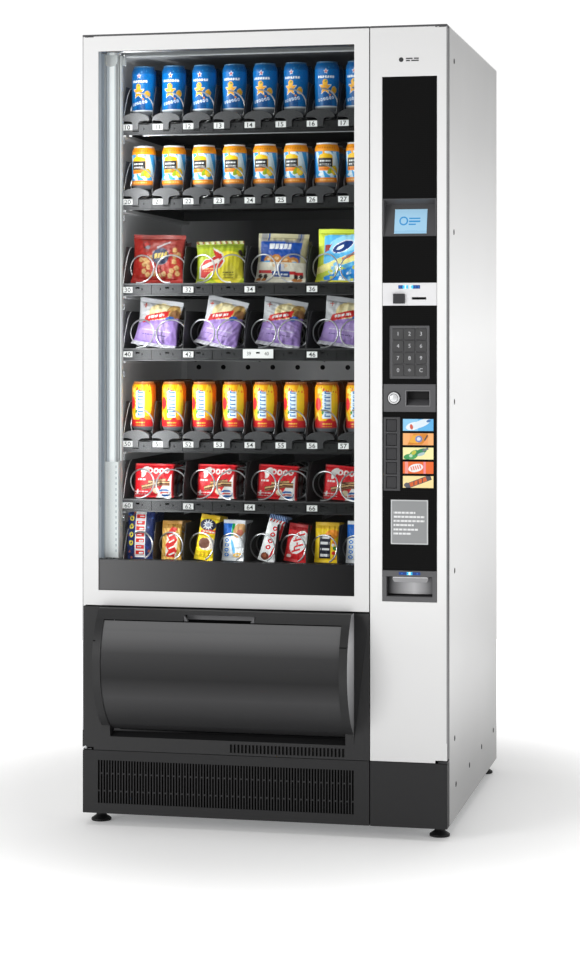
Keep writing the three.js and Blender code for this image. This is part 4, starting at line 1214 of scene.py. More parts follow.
def navy_bar(p, w, h):
    p.whole((34, 46, 92))
    draw = np.random.RandomState(11)
    for _ in range(44):
        a = draw.uniform(-w / 2, w / 2)
        p.oval(a, draw.uniform(0, h), draw.uniform(3, 8), draw.uniform(3, 6),
               [(60, 96, 170), (150, 84, 60), (40, 60, 130)][draw.randint(3)], draw.uniform(0, 90))
    for i in range(4):
        p.ring(-w * 0.34, h * (0.32 + 0.17 * i), (11, 12), (4.6, 6), (232, 218, 70), (40, 44, 90))
    p.box(0, h * 0.5, w * 0.4, h * 0.94, (238, 238, 240))
    for i in range(7):
        level = h * (0.12 + 0.125 * i)
        p.box(0, level, w * 0.31, 9.6, (206, 52, 44))
        p.box(-2 if i % 2 else 3, level, w * 0.16, 3.0, (238, 238, 240))


def gold_bar(p, w, h):
    p.whole((186, 142, 62))
    p.stripes(-5, h + 5, 9, (206, 168, 92), 0.4)
    p.band(h - 18, h + 5, (160, 118, 52))
    p.box(2, h * 0.38, w * 0.56, h * 0.62, (232, 224, 206), -6)
    zig = [(-15, 6), (-6, 20), (-14, 34), (-4, 46), (-12, 60), (2, 78), (16, 74), (8, 60), (17, 46),
           (8, 34), (16, 20), (6, 4)]
    p.shape(zig, (196, 44, 40))
    for i in range(4):
        p.box(2, 13 + 15 * i, 16, 3.4, (240, 236, 228), 24)


def yellow_bar(p, w, h):
    p.whole((240, 208, 36))
    p.oval(-2, h * 0.78, 40, 28, (34, 38, 66))
    p.star(-2, h * 0.78, 15, (240, 240, 244), 11)
    p.oval(-2, h * 0.78, 12, 10, (150, 156, 176))
    p.box(3, h * 0.63, 40, 9, (204, 58, 44), 8)
    p.lines(3, h * 0.63, 32, 1, 6, 4, (244, 230, 210), 3)
    p.oval(4, h * 0.36, 40, 30, (238, 226, 214), 20)
    p.oval(-4, h * 0.37, 28, 26, (116, 78, 64), 10)
    p.lines(0, h * 0.17, 30, 2, 6, 2, (190, 140, 40), 4)
    p.band(h - 9, h + 5, (214, 178, 38))


def milk_bar(p, w, h):
    p.whole((232, 234, 238))
    p.shape([(-w / 2, h * 0.58), (-w * 0.1, h * 0.6), (-w * 0.05, h - 8), (-w / 2, h - 8)],
            (24, 96, 186))
    p.shape([(-w * 0.1, h * 0.6), (w * 0.14, h * 0.64), (w * 0.04, h - 8), (-w * 0.08, h - 8)],
            (40, 150, 84))
    p.oval(w * 0.26, h * 0.76, w * 0.5, h * 0.4, (204, 160, 110), -20)
    p.oval(w * 0.3, h * 0.7, w * 0.3, h * 0.16, (190, 110, 90), 20)
    for i in range(4):
        p.ring(-w * 0.28, h * (0.14 + 0.12 * i), (w * 0.22, 9), (w * 0.1, 4), (28, 120, 204),
               (232, 234, 238))
    p.oval(w * 0.02, h * 0.33, w * 0.14, h * 0.4, (108, 182, 232), 14)
    p.ring(w * 0.22, h * 0.14, (w * 0.4, 11), (w * 0.2, 5), (240, 190, 90), (246, 236, 214), 10)
    p.band(h - 8, h + 5, (206, 208, 214))


def cocoa_bar(p, w, h):
    p.whole((234, 234, 236))
    p.shape([(w * 0.06, 6), (w * 0.5, 26), (w * 0.5, h * 0.8), (w * 0.34, h * 0.88),
             (w * 0.3, h * 0.4)], (198, 36, 44))
    for i in range(4):
        p.ring(-3 + 1.5 * i, h * (0.3 + 0.14 * i), (w * 0.34, 11), (w * 0.13, 4), (198, 36, 44),
               (238, 236, 236), 12)
    p.oval(-w * 0.14, h * 0.1, 20, 18, (112, 60, 44))
    p.oval(-w * 0.16, h * 0.11, 11, 9, (166, 96, 70))
    p.stripes(h * 0.84, h + 5, 8, (188, 50, 52), -0.4)
    p.band(h - 10, h + 5, (40, 70, 130))
    p.stripes(h - 10, h + 5, 6, (150, 176, 214), 0.7)


def red_bar(p, w, h):
    p.whole((196, 32, 38))
    p.band(h * 0.84, h + 5, (150, 34, 38))
    p.oval(4, h * 0.52, w * 0.7, h * 0.66, (238, 236, 236), -24)
    for i in range(4):
        p.box(3 + (3 if i % 2 else -3), h * (0.3 + 0.14 * i), 22, 4.6, (200, 36, 40), 24)
        p.box(-4 + 5 * (i % 2), h * (0.33 + 0.13 * i), 4, 10, (200, 36, 40), 10)
    p.oval(-w * 0.3, h * 0.14, 12, 8, (236, 210, 206), 10)


def candy_bag(p, w, h):
    p.whole((240, 200, 34))
    p.band(h * 0.86, h + 5, (206, 168, 50))
    p.oval(w * 0.22, h * 0.7, 34, 24, (240, 148, 50), 20)
    p.box(-3, h * 0.4, w * 0.5, h * 0.6, (30, 32, 46))
    for i in range(4):
        p.box(-3, h * (0.18 + 0.15 * i), w * 0.4, 5.4, (232, 232, 236))
        p.box(-3 + 8 * (-1) ** i, h * (0.18 + 0.15 * i), 3, 5.8, (30, 32, 46))
    for a, b, c in [(0.34, 0.5, (226, 120, 40)), (0.38, 0.36, (60, 140, 70)),
                    (0.33, 0.24, (206, 48, 44)), (0.36, 0.12, (236, 150, 40))]:
        p.oval(w * a, h * b, 10, 9, c)
    p.oval(w * 0.3, h * 0.44, 7, 7, (238, 238, 238))


def behind(size, depth):
    """Packs further back are a little smaller, so that the front one hides them."""
    wide, high, thick = size
    return (wide, high, thick) if depth == 0 else (wide * 0.9, high * 0.9, thick)


WIDE_LANES = [TRAY_LEFT + (2 * i + 1) * LANE for i in range(4)]
NARROW_LANES = [TRAY_LEFT + (i + 0.5) * LANE for i in range(8)]

for i, (paint, shift, size, lean, roll, yaw, bright) in enumerate([
    (red_bag, -2, (130, 118, 32), 7, 1.5, 0, 0.52), (lime_bag, 4, (116, 102, 32), 9, -1, 6, 0.74),
    (blue_bag, 2, (126, 118, 30), 8, 2.0, -4, 0.85), (sky_bag, 2, (130, 128, 30), 9, 1, -3, 1.7),
]):
    for depth in range(3):
        pouch(f"bag_3{2 * i}_{depth + 1}", 3,
              (WIDE_LANES[i] + shift - 7 * depth, 236 + COIL_PITCH * depth, TRAY_TOPS[2] + 3),
              behind(size, depth), paint, lean=lean + depth, roll=roll, yaw=yaw,
              seed=3 + i + 5 * depth, flare=9, fine=depth == 0, bright=bright)

for i, (shift, size, lean, roll, yaw, slip) in enumerate([
    (-10, (108, 118, 34), 10, 8, 4, 0), (-7, (104, 122, 34), 12, 12, -6, -4),
    (-5, (106, 118, 34), 10, 9, 3, 4), (-2, (110, 120, 34), 10, 8, 0, 2),
]):
    for depth in range(2):
        pouch(f"bag_4{2 * i}_{depth + 1}", 4,
              (WIDE_LANES[i] + shift - 7 * depth, 238 + COIL_PITCH * depth, TRAY_TOPS[3] + 3.5),
              behind(size, depth), lilac_bag(slip), lean=lean, roll=roll, yaw=yaw,
              seed=21 + i + 5 * depth, flare=22, seal=11, tuck=0.1, fine=depth == 0, crease=1.5)

for i, (shift, roll, yaw) in enumerate([(-9, 1, 3), (-4, 0.5, -3), (-6, 3, 2), (4, 4, -2)]):
    for depth in range(3):
        pouch(f"pack_6{2 * i}_{depth + 1}", 6,
              (WIDE_LANES[i] + shift - 5 * depth, 232 + COIL_PITCH * depth, TRAY_TOPS[5] + 3.5),
              behind((98, 80, 20), depth), wafer_pack, lean=6 + 2 * depth, roll=roll, yaw=yaw,
              seed=41 + i + 5 * depth, seal=4, tuck=0.01, fine=depth == 0, crease=0.5, boxy=7)

for i, (paint, shift, size, lean, roll) in enumerate([
    (navy_bar, -5, (66, 116, 16), 6, 1), (gold_bar, -2, (50, 92, 15), 6, 0),
    (yellow_bar, 2, (46, 108, 15), 8, 9), (milk_bar, 0, (54, 96, 16), 6, 1.5),
    (cocoa_bar, 6, (40, 112, 15), 8, 15), (red_bar, 1, (54, 90, 15), 8, 8),
    (candy_bag, 2, (56, 94, 18), 6, 1.5), (milk_bar, 2, (56, 98, 16), 6, 1.5),
]):
    for depth in range(3):
        pouch(f"bar_7{i}_{depth + 1}", 7,
              (NARROW_LANES[i] + shift - 5 * depth, 226 + COIL_PITCH * depth, TRAY_TOPS[6] + 3.5),
              behind(size, depth), paint, lean=lean + depth, roll=roll, yaw=(-1) ** i * 3,
              seed=61 + i + 9 * depth, seal=7, tuck=0.03, fine=depth == 0, crease=0.8, boxy=4,
              bright=1.7, shade=0.5)


# ---- door lamp, window trims and back wall ------------------------------------------------

LAMP_TOP, LAMP_FOOT, BOX_TOP = 1789, 616, 842


def door_lamp_housing():
    """Reflectors and strips round the lamp, its driver box at the foot and its cap on top. The pale
    covers glow as painted light, and the strips on the frame's edge beside the lamp glow as its
    painted reflection.
    """
    made = Shape()
    for x, y, z, mark in (((-389.4, -388.7), (8, 24), (LAMP_FOOT + 1, LAMP_TOP + 3), 7),
                          ((-389.4, -388.7), (24.1, 60), (LAMP_FOOT + 1, LAMP_TOP), 6),
                          ((-388.3, -383.4), (31, 58), (LAMP_FOOT, LAMP_TOP), 6),
                          ((-383.4, -381.6), (30.6, 62), (LAMP_FOOT, LAMP_TOP), 1),
                          ((-387, -352), (62.5, 66), (BOX_TOP, LAMP_TOP), 2),
                          ((-354.6, -352), (55, 66), (BOX_TOP, LAMP_TOP), 1),
                          ((-355.6, -351.4), (42, 60), (BOX_TOP, LAMP_TOP - 3), 1),
                          ((-350.8, -346.4), (46, 60), (BOX_TOP, LAMP_TOP - 3), 4),
                          ((-389, -350), (33, 37), (LAMP_FOOT + 1, BOX_TOP - 2), 4),
                          ((-352.6, -349.4), (42, 64), (LAMP_FOOT, BOX_TOP), 5),
                          ((-352, 212), (58, 60), (1782.4, 1785.6), 1),
                          ((-352, -340), (52, 64), (1764, 1782), 5),
                          ((-352, 212), (62, 66), (1786, 1794), 2)):
        made.box(x, y, z, mark)
    for level in range(700, 1780, 62):
        made.spin([(0, 0), (1.9, 0), (1.6, 0.9), (0, 1.2)], (-353.3, 55, level), "y", 10, 3)
    for level in range(630, 830, 13):
        made.box((-357, -354.4), (32.6, 33.4), (level, level + 6))
    made.plate([(-390, 812), (-352, 812), (-352, 822), (-358, 840), (-384, 840), (-390, 834)],
               (40, 62), 4)
    cap = arc(-370, 1772, 17, 13, 180, 360, 14)
    made.plate([(-387, 1786), (-387, 1772)] + cap + [(-353, 1786)], (36, 62), 5)
    put(made, "door_lamp_housing", "front_door",
        [COOL, PALE, STEEL, CHROME, COVER_GLOW, LIGHT, PAINTED_SHEEN, LAMP], bevel=0.3)


def cell_side_rails():
    """Two uprights on the cell's left wall, the inner one slotted, its slots painted dark as shadow,
    with screwed brackets.
    """
    made = Shape()
    for y in ((96, 110), (128, 156)):
        made.box((-399.8, -394.8), y, (560, 1796))
    for level in range(600, 1780, 41):
        made.box((-394.8, -394.2), (138, 144), (level, level + 12), 1)
    for level in (1604, 1418, 1206, 1045, 846, 700):
        made.box((-396, -391), (150, 196), (level - 14, level + 6))
        made.spin([(0, 0), (3, 0), (2.6, 1.4), (0, 1.8)], (-386, 186, level - 4), "y", 12, 2)
        made.box((-391, -381), (187, 190), (level - 10, level + 4))
    put(made, "cell_side_rails", "cabinet", [STEEL, VOID, CHROME], bevel=0.4)


def back_wall_holes():
    """The strip of back wall under the fourth tray, painted pale and glowing as painted light, with
    its two rows of round holes painted dark as shadow.
    """
    made = Shape()
    for count, left, step, z, r, sides in ((9, -352, 67, 1052, 6.4, 24),
                                           (4, -360, 174, 1068, 2.2, 12)):
        for i in range(count):
            made.spin([(0, 0), (r, 0), (r, 0.7), (0, 0.7)], (left + step * i, 765.2, z), "y",
                      sides)
    made.box((-384, 212), (765.4, 765.9), (985, 1082), 1)
    put(made, "back_wall_holes", "cabinet", [VOID, STRIP_LIT])


def lit_strip(number, level):
    """A bright strip under a top tray, with its clips at the left."""
    made = Shape()
    made.box((-336, TRAY_RIGHT - 2), (180, 184), (level - 1.1, level + 1.3))
    for x in (-382, -367, -331, -324):
        made.box((x, x + 6), (178, 184), (level - 2, level + 2.4), 1)
    put(made, f"tray_{number}_lit_strip", f"tray_{number}", [STEEL, LIGHT],
        bevel=0.4)


def window_seal():
    """Strips between pane and door frame: a pale one at the left that glows as painted light, black
    ones on top and right.
    """
    made = Shape()
    made.box((-393.6, -391.2), (7.2, 12), (616, 1795), 1)
    made.box((215.1, 218.0), (7.2, 12), (616, 1793))
    made.box((-388.4, 215.1), (7.2, 12), (1790.8, 1793.8))
    put(made, "window_seal", "front_door", [BLACK, COVER_GLOW], bevel=0.5)


def top_trim(body, x, outer):
    """The dark line along a door's top edge and the grey one down its hinge side."""
    made = Shape()
    made.box(x, (-0.25, 1.5), (1825.4, 1829.9))
    made.box(outer, (-0.2, 1.5), (220, 1825.2), 1)
    put(made, f"{body}_top_trim", body, [EDGE_DARK, EDGE_GREY], bevel=0.2)


door_lamp_housing()
cell_side_rails()
back_wall_holes()
lit_strip(1, 1611.5)
lit_strip(2, 1435)
window_seal()
top_trim("front_door", (-426.3, 249.4), (-426.4, -424.2))
top_trim("column_door", (251.0, 426.3), (424.2, 426.4))


# ---- plinth grille ------------------------------------------------------------------------


def pierced(made, xs, zs, solid, y):
    """A plate on a grid of cells; solid(i, j) says which cells are metal."""
    grid = {}
    for side in (0, 1):
        for i, x in enumerate(xs):
            for j, z in enumerate(zs):
                grid[i, j, side] = len(grid)
    points = [(x, y[side], z) for side in (0, 1) for x in xs for z in zs]
    faces = []
    full = {(i, j) for i in range(len(xs) - 1) for j in range(len(zs) - 1) if solid(i, j)}
    for i, j in full:
        a, b, c, d = (i, j), (i + 1, j), (i + 1, j + 1), (i, j + 1)
        faces.append([grid[p + (0,)] for p in (a, b, c, d)])
        faces.append([grid[p + (1,)] for p in (d, c, b, a)])
        for (p, q), step in (((a, b), (i, j - 1)), ((b, c), (i + 1, j)), ((c, d), (i, j + 1)),
                             ((d, a), (i - 1, j))):
            if step not in full:
                faces.append([grid[q + (0,)], grid[p + (0,)], grid[p + (1,)], grid[q + (1,)]])
    made.add(points, faces)


def plinth_grille():
    """Upright slots whose crossbars step up and down, in a folded frame over a dark plate that is
    painted shadow for the inside.
    """
    left, right, foot, head = -426.0, 248.8, 28.4, 173.6
    pitch, slot, fold = 6.65, 4.1, 2.0
    front, behind, depth = 0.4, 2.6, 28
    starts = [-389.3 + pitch * i for i in range(91)]
    xs = sorted([left, right] + starts + [x + slot for x in starts])
    zs = [foot, 52, 79.0, 82.2, 119.3, 122.5, 151.5, head]

    def is_metal(i, j):
        if j in (0, 6) or i % 2 == 0:
            return True
        return j == (2 if (i // 2) % 2 == 0 else 4)

    made = Shape()
    pierced(made, xs, zs, is_metal, (front, behind))
    for z in ((head - fold, head), (foot, foot + fold)):
        made.box((left, right), (behind, depth), z)
    for x in ((left, left + fold), (right - fold, right)):
        made.box(x, (behind, depth), (foot + fold, head - fold))
    made.box((-420, 244), (11, 12), (34, 168), 1)
    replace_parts(put(made, "plinth_grille_fine", "cabinet", [DARK_PAINT, VOID]),
                "plinth_grille")


plinth_grille()


# ---- delivery station details -------------------------------------------------------------

def delivery_vent_louvres():
    """A row of slots in the sill, dark boxes of painted shadow, each with a thin raised blade at its
    right.
    """
    made = Shape()
    for i in range(31):
        x = -74 + 8.7 * i
        made.box((x, x + 4.2), (-0.9, 0.8), (180.4, 199.4))
        made.box((x + 4.2, x + 4.9), (-1.2, 0.6), (180.0, 199.8), 1)
    put(made, "delivery_vent_louvres", "front_door", [VOID, HOOD], bevel=0.25)


def delivery_hinge_pins():
    made = Shape()
    made.spin([(0, 0), (3.4, 0), (3.4, 1.0), (2.2, 1.6), (0, 1.8)], (-419, 0.2, 180), "y", 18)
    put(made, "delivery_hinge_pins", "front_door", [ZINC])


def hood_parting(side, low, high):
    """The dark line where a cheek's two halves meet, as wide as the cheek stands proud."""
    proud = [x for x in np.arange(low, high, 0.5)
             if face_y("delivery_surround", x, 437) < -50]
    gap = Shape().box((proud[0], proud[-1]), (-71.4, -69.6), (436.2, 438.0))
    put(gap, f"hood_parting_{side}", "front_door", [VOID])


def finger_recess():
    """Sloping ends and a back for the finger recess, found where the surround is open; the back is
    painted paler and glows as painted light.
    """
    open_x = [x for x in np.arange(-220, 60, 1.0)
              if face_y("delivery_surround", x, 490, 99) > 50]
    left, right = open_x[0], open_x[-1]
    made = Shape()
    made.plate([(left, 483), (left + 9, 483), (left, 497)], (-43, -34))
    made.plate([(right, 497), (right - 9, 483), (right, 483)], (-43, -34))
    made.box((left, right), (-15.5, -14), (484.5, 498), 1)
    put(made, "finger_recess_ends", "front_door", [MID, RECESS_LIT], bevel=0.4)


delivery_vent_louvres()
delivery_hinge_pins()
hood_parting("left", -394, -373)
hood_parting("right", 192, 216)
finger_recess()


# ---- control column -----------------------------------------------------------------------


def sheet(name, x, z, level, paint, mat, thick=0.5):
    """A thin printed plate on the column door. Its back lies level deep, the same all over or
    worked out by level(z) up its height."""
    per_mm = 1.4
    nu, nv = int((x[1] - x[0]) * per_mm) + 2, int((z[1] - z[0]) * per_mm) + 2
    u, v = np.meshgrid(np.linspace(*x, nu), np.linspace(*z, nv))
    y = level(v) if callable(level) else np.full_like(v, level)
    paper = Paint((u - x[0]).ravel(), (v - z[0]).ravel(), (255, 255, 255))
    paint(paper, x[1] - x[0], z[1] - z[0])
    points = [np.stack([u, depth, v], axis=2).reshape(-1, 3) for depth in (y - thick, y)]
    made = Shape().add(np.concatenate(points), skin(nu, nv), 0, np.tile(paper.c, (2, 1)))
    put(made, name, "column_door", [mat], fix=False, smooth=30)


def screen_art(p, w, h):
    p.whole((156, 198, 224))
    p.lay(p.v < 0.12 * h, (146, 190, 218))
    p.ring(w * 0.28, h * 0.52, (20, 20), (14, 14), (44, 140, 204), (156, 198, 224))
    for a, b, long in ((0.62, 0.62, 26), (0.62, 0.50, 26), (0.55, 0.38, 16)):
        p.box(w * a, h * b, long, 3.2, (44, 140, 204))
    for i in range(7):
        p.oval(w * 0.36 + 4 * i, h * 0.12, 1.6, 1.6, (120, 176, 216))
    for a, b in ((0, 0), (0, 1), (1, 0), (1, 1)):
        p.box(w * a, h * b, 2, 2, (226, 240, 250))


def screen_level(z):
    """The screen leans as the bezel does between these two heights."""
    low_z, high_z, lift = 1364, 1415, 0.3
    low_y, high_y = (min(face_y("display_bezel", x, level, 20) for x in (308, 377))
                     for level in (low_z, high_z))
    return low_y + (high_y - low_y) * (z - low_z) / (high_z - low_z) - lift


sheet("display_screen", (305.6, 379.2), (1361.8, 1417.4), screen_level, screen_art, SCREEN)


def led_art(glow_at):
    def paint(p, w, h):
        p.whole((18, 52, 118))
        p.box(w * glow_at, h / 2, 4, h + 2, (206, 240, 250))
        for a in (-4, 4):
            p.box(w * glow_at + a, h / 2, 4, h + 2, (60, 190, 232))
        for a in (0.15, 0.4, 0.6, 0.85):
            p.box(w * a, h * 0.5, 2, 3, (40, 112, 186))
    return paint


plate_y = face_y("coin_plate", 340, 1242, 0.2)
sheet("coin_led_left", (315.6, 338), (1238, 1245.8), plate_y, led_art(0.72), LED)
sheet("coin_led_right", (341, 364.8), (1238, 1245.8), plate_y, led_art(0.1), LED)
cup_y = face_y("coin_cup", 340, 598.6, 0.2)
sheet("cup_led", (316.8, 365.4), (595.5, 601.8), cup_y, led_art(0.5), LED)


def column_emblem():
    """A plain disc and four strokes over the fascia, where the photo has a mark."""
    x, level = 322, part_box("fascia_insert")[1].z * 1000 + 34
    at = face_y("column_panel", x, level)
    made = Shape()
    made.spin([(0, 0), (5.4, 0), (5.0, 0.5), (0, 0.6)], (x, at, level), "y", 28)
    for low, high, lift in ((333, 348, 2.4), (351, 362, 2.4), (333, 342, -2.4), (345, 362, -2.4)):
        made.box((low, high), (at - 0.5, at + 0.2), (level + lift - 1.3, level + lift + 1.3))
    put(made, "column_door_emblem", "column_door", [DARK], bevel=0.15)


def key_legend(part):
    low, high = [1000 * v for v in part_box(part)]
    word = part.split("_")[1]
    mark, size = {"star": ("*", 11), "clear": ("C", 8.8)}.get(word, (word, 8.8))
    made = Shape()
    made.text(mark, (low.x + high.x) / 2, (low.z + high.z) / 2 + 0.6, low.y + FRONT_Y, size)
    put(made, part + "_legend", part, [LEGEND])


def keypad_rim():
    (left, right), (foot, head), wide = (296, 386.3), (1036, 1155), 1.8
    made = Shape()
    for x, z in (((left, left + wide), (foot, head)), ((right - wide, right), (foot, head)),
                 ((left, right), (head - wide, head)), ((left, right), (foot, foot + wide))):
        made.box(x, (-1.0, 0.6), z)
    put(made, "keypad_rim", "column_door", [MID], bevel=0.6)


column_emblem()
for part in [n for n in NODES if n.startswith("key_")]:
    key_legend(part)
keypad_rim()


def annulus(made, x, z, inner, outer, y, mark=0):
    """A flat ring facing the front, from y[0] back to y[1]."""
    n = 48
    t = np.linspace(0, 2 * math.pi, n, endpoint=False)
    points = [(x + r * math.cos(a), level, z + r * math.sin(a))
              for level in y for r in (outer, inner) for a in t]
    faces = []
    for i in range(n):
        k = (i + 1) % n
        faces += [(i, k, n + k, n + i), (2 * n + i, 3 * n + i, 3 * n + k, 2 * n + k),
                  (i, 2 * n + i, 2 * n + k, k), (n + i, n + k, 3 * n + k, 3 * n + i)]
    return made.add(points, faces, mark)


LOCK_X, LOCK_Z = 305.6, 992.4
PLATE_Y = face_y("lock_plate", LOCK_X, 1022, 0.0)


def lock():
    """The keyway and the ringed dome turn with the cylinder; the collar stays on the plate."""
    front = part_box("lock_cylinder")[0].y * 1000 + FRONT_Y
    keyway = Shape()
    # The keyway is a slot and a disc painted dark as shadow.
    keyway.box((LOCK_X - 0.9, LOCK_X + 0.9), (front - 0.15, front + 0.8),
               (LOCK_Z - 4.2, LOCK_Z + 4.2), 1)
    keyway.spin([(0, 0), (2.4, 0), (2.4, 0.5), (0, 0.5)], (LOCK_X, front + 0.3, LOCK_Z), "y",
                20, 1)
    put(keyway, "lock_keyway", "lock_cylinder", [CHROME, VOID])

    collar = annulus(Shape(), LOCK_X, LOCK_Z, 13.9, 15.4, (PLATE_Y - 0.7, PLATE_Y + 0.4))
    put(collar, "lock_collar", "column_door", [BLACK], bevel=0.3)

    rings = annulus(Shape(), LOCK_X, LOCK_Z, 9.3, 10.2, (front - 0.1, front + 0.5), 1)
    annulus(rings, LOCK_X, LOCK_Z, 10.2, 12.4, (front - 0.9, front + 0.5))
    rings.spin([(0, 0), (9.2, 0), (8.6, 0.9), (6.4, 1.7), (3.4, 2.2), (0, 2.3)],
               (LOCK_X, front + 0.4, LOCK_Z), "y", 36, 2)
    put(rings, "lock_face_rings", "lock_cylinder", [LIGHT, BLACK, DOME],
        bevel=0.3)


def pull_pocket():
    """A raised rim round the pull pocket, a sloping floor in it and its back, painted black as shade.
    """
    (left, right), (foot, head), wide = (333.4, 386.3), (975.8, 1008.2), 1.9
    floor_rise, back = 13.5, 19.6
    made = Shape()
    for x, z in (((left - wide, left), (foot - wide, head + wide)),
                 ((right, right + wide), (foot - wide, head + wide)),
                 ((left, right), (head, head + wide)), ((left, right), (foot - wide, foot))):
        made.box(x, (PLATE_Y - 1.0, PLATE_Y + 0.4), z)
    wedge = [(x, y, z) for x in (left + 1, right - 1)
             for y, z in ((3.0, foot + 0.2), (back, foot + 0.2), (back, foot + floor_rise))]
    made.add(wedge, [(0, 1, 2), (3, 5, 4), (0, 3, 4, 1), (1, 4, 5, 2), (2, 5, 3, 0)], 1)
    made.box((left + 1, right - 1), (18.4, 20.0), (foot + floor_rise, head - 0.4), 2)
    put(made, "pull_pocket_rim", "column_door", [RIM, MID, BLACK], bevel=0.4)


lock()
pull_pocket()


def drink_card(p, w, h):
    p.whole((96, 178, 230))
    p.lay(p.u < w * 0.5, (140, 202, 238))
    p.oval(w * 0.34, h * 0.4, 34, 17, (236, 240, 244), 14)
    p.oval(w * 0.6, h * 0.62, 44, 16, (222, 234, 244), 22)
    p.oval(w * 0.28, h * 0.34, 7, 12, (206, 90, 70), 14)
    p.oval(w * 0.84, h * 0.84, 10, 6, (70, 120, 180), 20)


def orange_card(p, w, h):
    p.whole((238, 158, 92))
    p.lay((p.u < w * 0.22) | (p.u > w * 0.82), (244, 176, 112))
    p.shape([(10, 1), (24, h - 2), (w - 14, h - 1), (w - 11, h - 8), (w - 26, 2)], (214, 132, 36))
    p.shape([(14, 6), (22, h - 5), (38, h - 3), (34, 4)], (236, 170, 60))
    p.ring(w * 0.52, h * 0.52, (16, 15), (9, 8), (112, 132, 190), (220, 224, 236))
    p.box(w * 0.76, h * 0.62, 3, 14, (64, 60, 70), -30)


def green_card(p, w, h):
    p.whole((246, 236, 172))
    p.oval(w * 0.18, h * 0.22, 22, 12, (60, 150, 84), 10)
    p.oval(w * 0.36, h * 0.4, 26, 17, (70, 160, 90), 40)
    p.oval(w * 0.58, h * 0.62, 30, 13, (50, 136, 84), 24)
    p.oval(w * 0.36, h * 0.56, 12, 8, (190, 190, 70), 40)
    p.oval(w * 0.26, h * 0.3, 8, 7, (190, 220, 190), 10)
    p.oval(w * 0.6, h * 0.44, 18, 7, (170, 196, 200), 20)
    p.box(w * 0.74, h * 0.84, 14, 5, (110, 120, 124), 24)


def wafer_card(p, w, h):
    p.whole((232, 104, 40))
    p.lay((p.u > w * 0.07) & (p.u < w * 0.17), (240, 150, 140))
    p.lay((p.u > w * 0.68) & (p.u < w * 0.75), (240, 140, 150))
    p.oval(w * 0.42, h * 0.48, 34, 18, (238, 236, 236), 12)
    for i in range(5):
        p.box(w * 0.28 + 5 * i, h * 0.42 + 1.1 * i, 2.4, 9, (228, 88, 40), 20)


def bar_card(p, w, h):
    p.whole((248, 222, 158))
    p.box(w * 0.5, h * 0.5, 62, 12, (76, 76, 84), 21)
    p.box(w * 0.5, h * 0.5, 40, 9, (214, 96, 40), 21)
    for i in range(3):
        p.box(w * 0.36 + 9.6 * i, h * 0.36 + 3.6 * i, 2.4, 9, (60, 56, 62), 2)
    p.oval(w * 0.12, h * 0.24, 12, 10, (90, 88, 96), 20)


card_y = face_y("fascia_insert", 360, 930, 0.0)
for i, art in enumerate([drink_card, orange_card, green_card, wafer_card, bar_card]):
    foot = 919 - 31.95 * i
    sheet(f"selection_card_{i + 1}", (325.9, 395.1), (foot, foot + 26.6), card_y, art, PRINT)


def info_art(p, w, h):
    p.whole((142, 144, 145))
    edge = 2.2
    border = (p.u < edge) | (p.u > w - edge) | (p.v < edge) | (p.v > h - edge)
    p.lay(border, (196, 198, 199))
    for row, long in enumerate((50, 70, 70, 46, 56, 40)):
        level = 71 - 9.4 * row
        chop = np.sin(p.u * 2.3 + row * 1.7) + np.sin(p.u * 0.71 + row)
        part = (abs(p.v - level) < 2.2) & (p.u > 6) & (p.u < 6 + long) & (chop > -1.1)
        p.lay(part, (226, 227, 228))


sheet("coin_information_plate", (298.5, 382.9), (664.2, 763.9), card_y, info_art, PRINT,
      thick=0.8)


def coin_cup_bar():
    """The finger bar across the coin cup's flap, with a light line along its top as a painted
    highlight.
    """
    made = Shape()
    made.plate([(302.5, 590.4), (300.6, 586), (304.2, 579.2), (306.5, 578.4), (377.5, 578.4),
                (379.6, 579.2), (382.9, 586), (381, 590.4)], (7.6, 11.8))
    made.box((301.6, 382), (6.8, 7.6), (588.2, 590.2), 1)
    put(made, "coin_cup_bar", "coin_cup_flap", [BAR, LIGHT], bevel=0.6)


coin_cup_bar()


# ---- side and rear of the cabinet ---------------------------------------------------------


def side_hole_plugs():
    made = Shape()
    for y, z in ((105, 1759), (101, 1369), (109, 982), (112, 596), (113, 213), (357.5, 106),
                 (134, 104), (575, 111), (802.5, 113)):
        made.spin([(0, 0), (6.6, 0), (6.2, 1.1), (4.0, 1.1), (3.4, 0.4), (0, 0.4)],
                  (426.2, y, z), "x", 20)
    put(made, "side_hole_plugs", "cabinet", [BLACK], bevel=0.2)


def rear_panel_screws():
    made = Shape()
    head = [(0, 0), (4.6, 0), (4.2, -1.5), (2.4, -2.2), (0, -2.3)]
    for x in (-410, -205, 0, 205, 410):
        for z in (74, 640, 1210, 1812):
            made.spin(head, (x, 869.9, z), "y", 16)
    put(made, "rear_panel_screws", "cabinet", [CHROME])


side_hole_plugs()
rear_panel_screws()


# ---- floor, light and camera --------------------------------------------------------------

scene = bpy.context.scene
scene.view_settings.view_transform = "Standard"
scene.view_settings.look = "None"


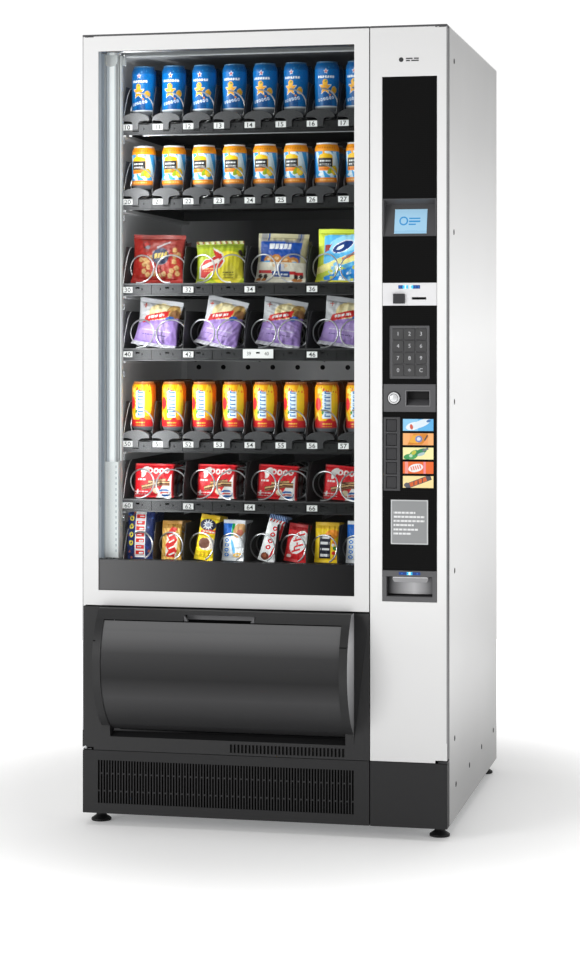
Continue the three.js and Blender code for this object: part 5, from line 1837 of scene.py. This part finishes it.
def paper_floor():
    """A pale round floor whose glow rises outwards, so that it fades into the white behind."""
    radius, sides, drop = 3.0, 96, 0.0005
    mesh = bpy.data.meshes.new("studio_floor")
    ring = [(radius * math.cos(t), radius * math.sin(t), -drop)
            for t in np.linspace(0, 2 * math.pi, sides, endpoint=False)]
    mesh.from_pydata(ring, [], [tuple(range(sides))])
    paper = finish("studio_floor_pale", (250, 250, 250), 0.6, vary=0.01, patch=0.8, bump=0.02,
                   spec=0.2)
    tree = paper.node_tree
    length = node(tree, "VectorMath", operation="LENGTH")
    tree.links.new(node(tree, "TexCoord").outputs["Object"], length.inputs[0])
    rise = node(tree, "MapRange", interpolation_type="SMOOTHSTEP")
    for limit, value in (("From Min", 0.62), ("From Max", 1.55), ("To Min", 0.15), ("To Max", 0.9)):
        rise.inputs[limit].default_value = value
    tree.links.new(length.outputs["Value"], rise.inputs["Value"])
    shader = tree.nodes["Principled BSDF"]
    shader.inputs["Emission Color"].default_value = (1, 1, 1, 1)
    tree.links.new(rise.outputs["Result"], shader.inputs["Emission Strength"])
    mesh.materials.append(paper)
    floor = bpy.data.objects.new("studio_floor", mesh)
    scene.collection.objects.link(floor)


def white_world():
    """White behind the object, and a weaker, slightly warm light from all round."""
    scene.world = bpy.data.worlds.new("studio_world")
    scene.world.use_nodes = True
    tree = scene.world.node_tree
    seen = tree.nodes["Background"]
    seen.inputs["Color"].default_value = (1, 1, 1, 1)
    seen.inputs["Strength"].default_value = 1.05
    fill = node(tree, "Background")
    fill.inputs["Color"].default_value = (1, 0.995, 0.985, 1)
    fill.inputs["Strength"].default_value = 0.42
    pick = node(tree, "MixShader")
    tree.links.new(node(tree, "LightPath").outputs["Is Camera Ray"], pick.inputs["Fac"])
    tree.links.new(fill.outputs[0], pick.inputs[1])
    tree.links.new(seen.outputs[0], pick.inputs[2])
    tree.links.new(pick.outputs[0], tree.nodes["World Output"].inputs["Surface"])


def soft_light(name, at, aim, size, power):
    data = bpy.data.lights.new(name, "AREA")
    data.shape = "RECTANGLE"
    data.size, data.size_y = size
    data.energy = power
    light = bpy.data.objects.new(name, data)
    light.location = at
    light.rotation_euler = (Vector(aim) - Vector(at)).to_track_quat("-Z", "Y").to_euler()
    scene.collection.objects.link(light)


paper_floor()
white_world()
soft_light("key_softbox", (-3.2, -4.4, 1.7), (0, -0.4, 1.05), (2.4, 2.2), 128)
soft_light("side_softbox", (3.1, -0.9, 0.95), (0.43, 0.1, 0.85), (1.6, 0.8), 18.2)
soft_light("top_softbox", (0, -0.6, 4.2), (0, -0.2, 0), (3.2, 3.2), 40)
soft_light("rear_softbox", (1.5, 4.5, 2.2), (0, 0, 1.0), (3.0, 2.4), 22)
soft_light("lamp_tube_light", (-0.350, -0.325, 1.24), (0.3, 0.12, 1.24), (0.02, 1.1), 4.0)

camera_data = bpy.data.cameras.new("camera")
camera_data.lens = 82.0
camera_data.sensor_width = 36.0
camera_data.shift_x, camera_data.shift_y = -0.0140, -0.1476
camera_data.clip_end = 60
camera = bpy.data.objects.new("camera", camera_data)
camera.location = (1.160, -5.296, 1.118)
camera.rotation_euler = (math.radians(90), 0, math.radians(12.229))
scene.collection.objects.link(camera)
scene.camera = camera
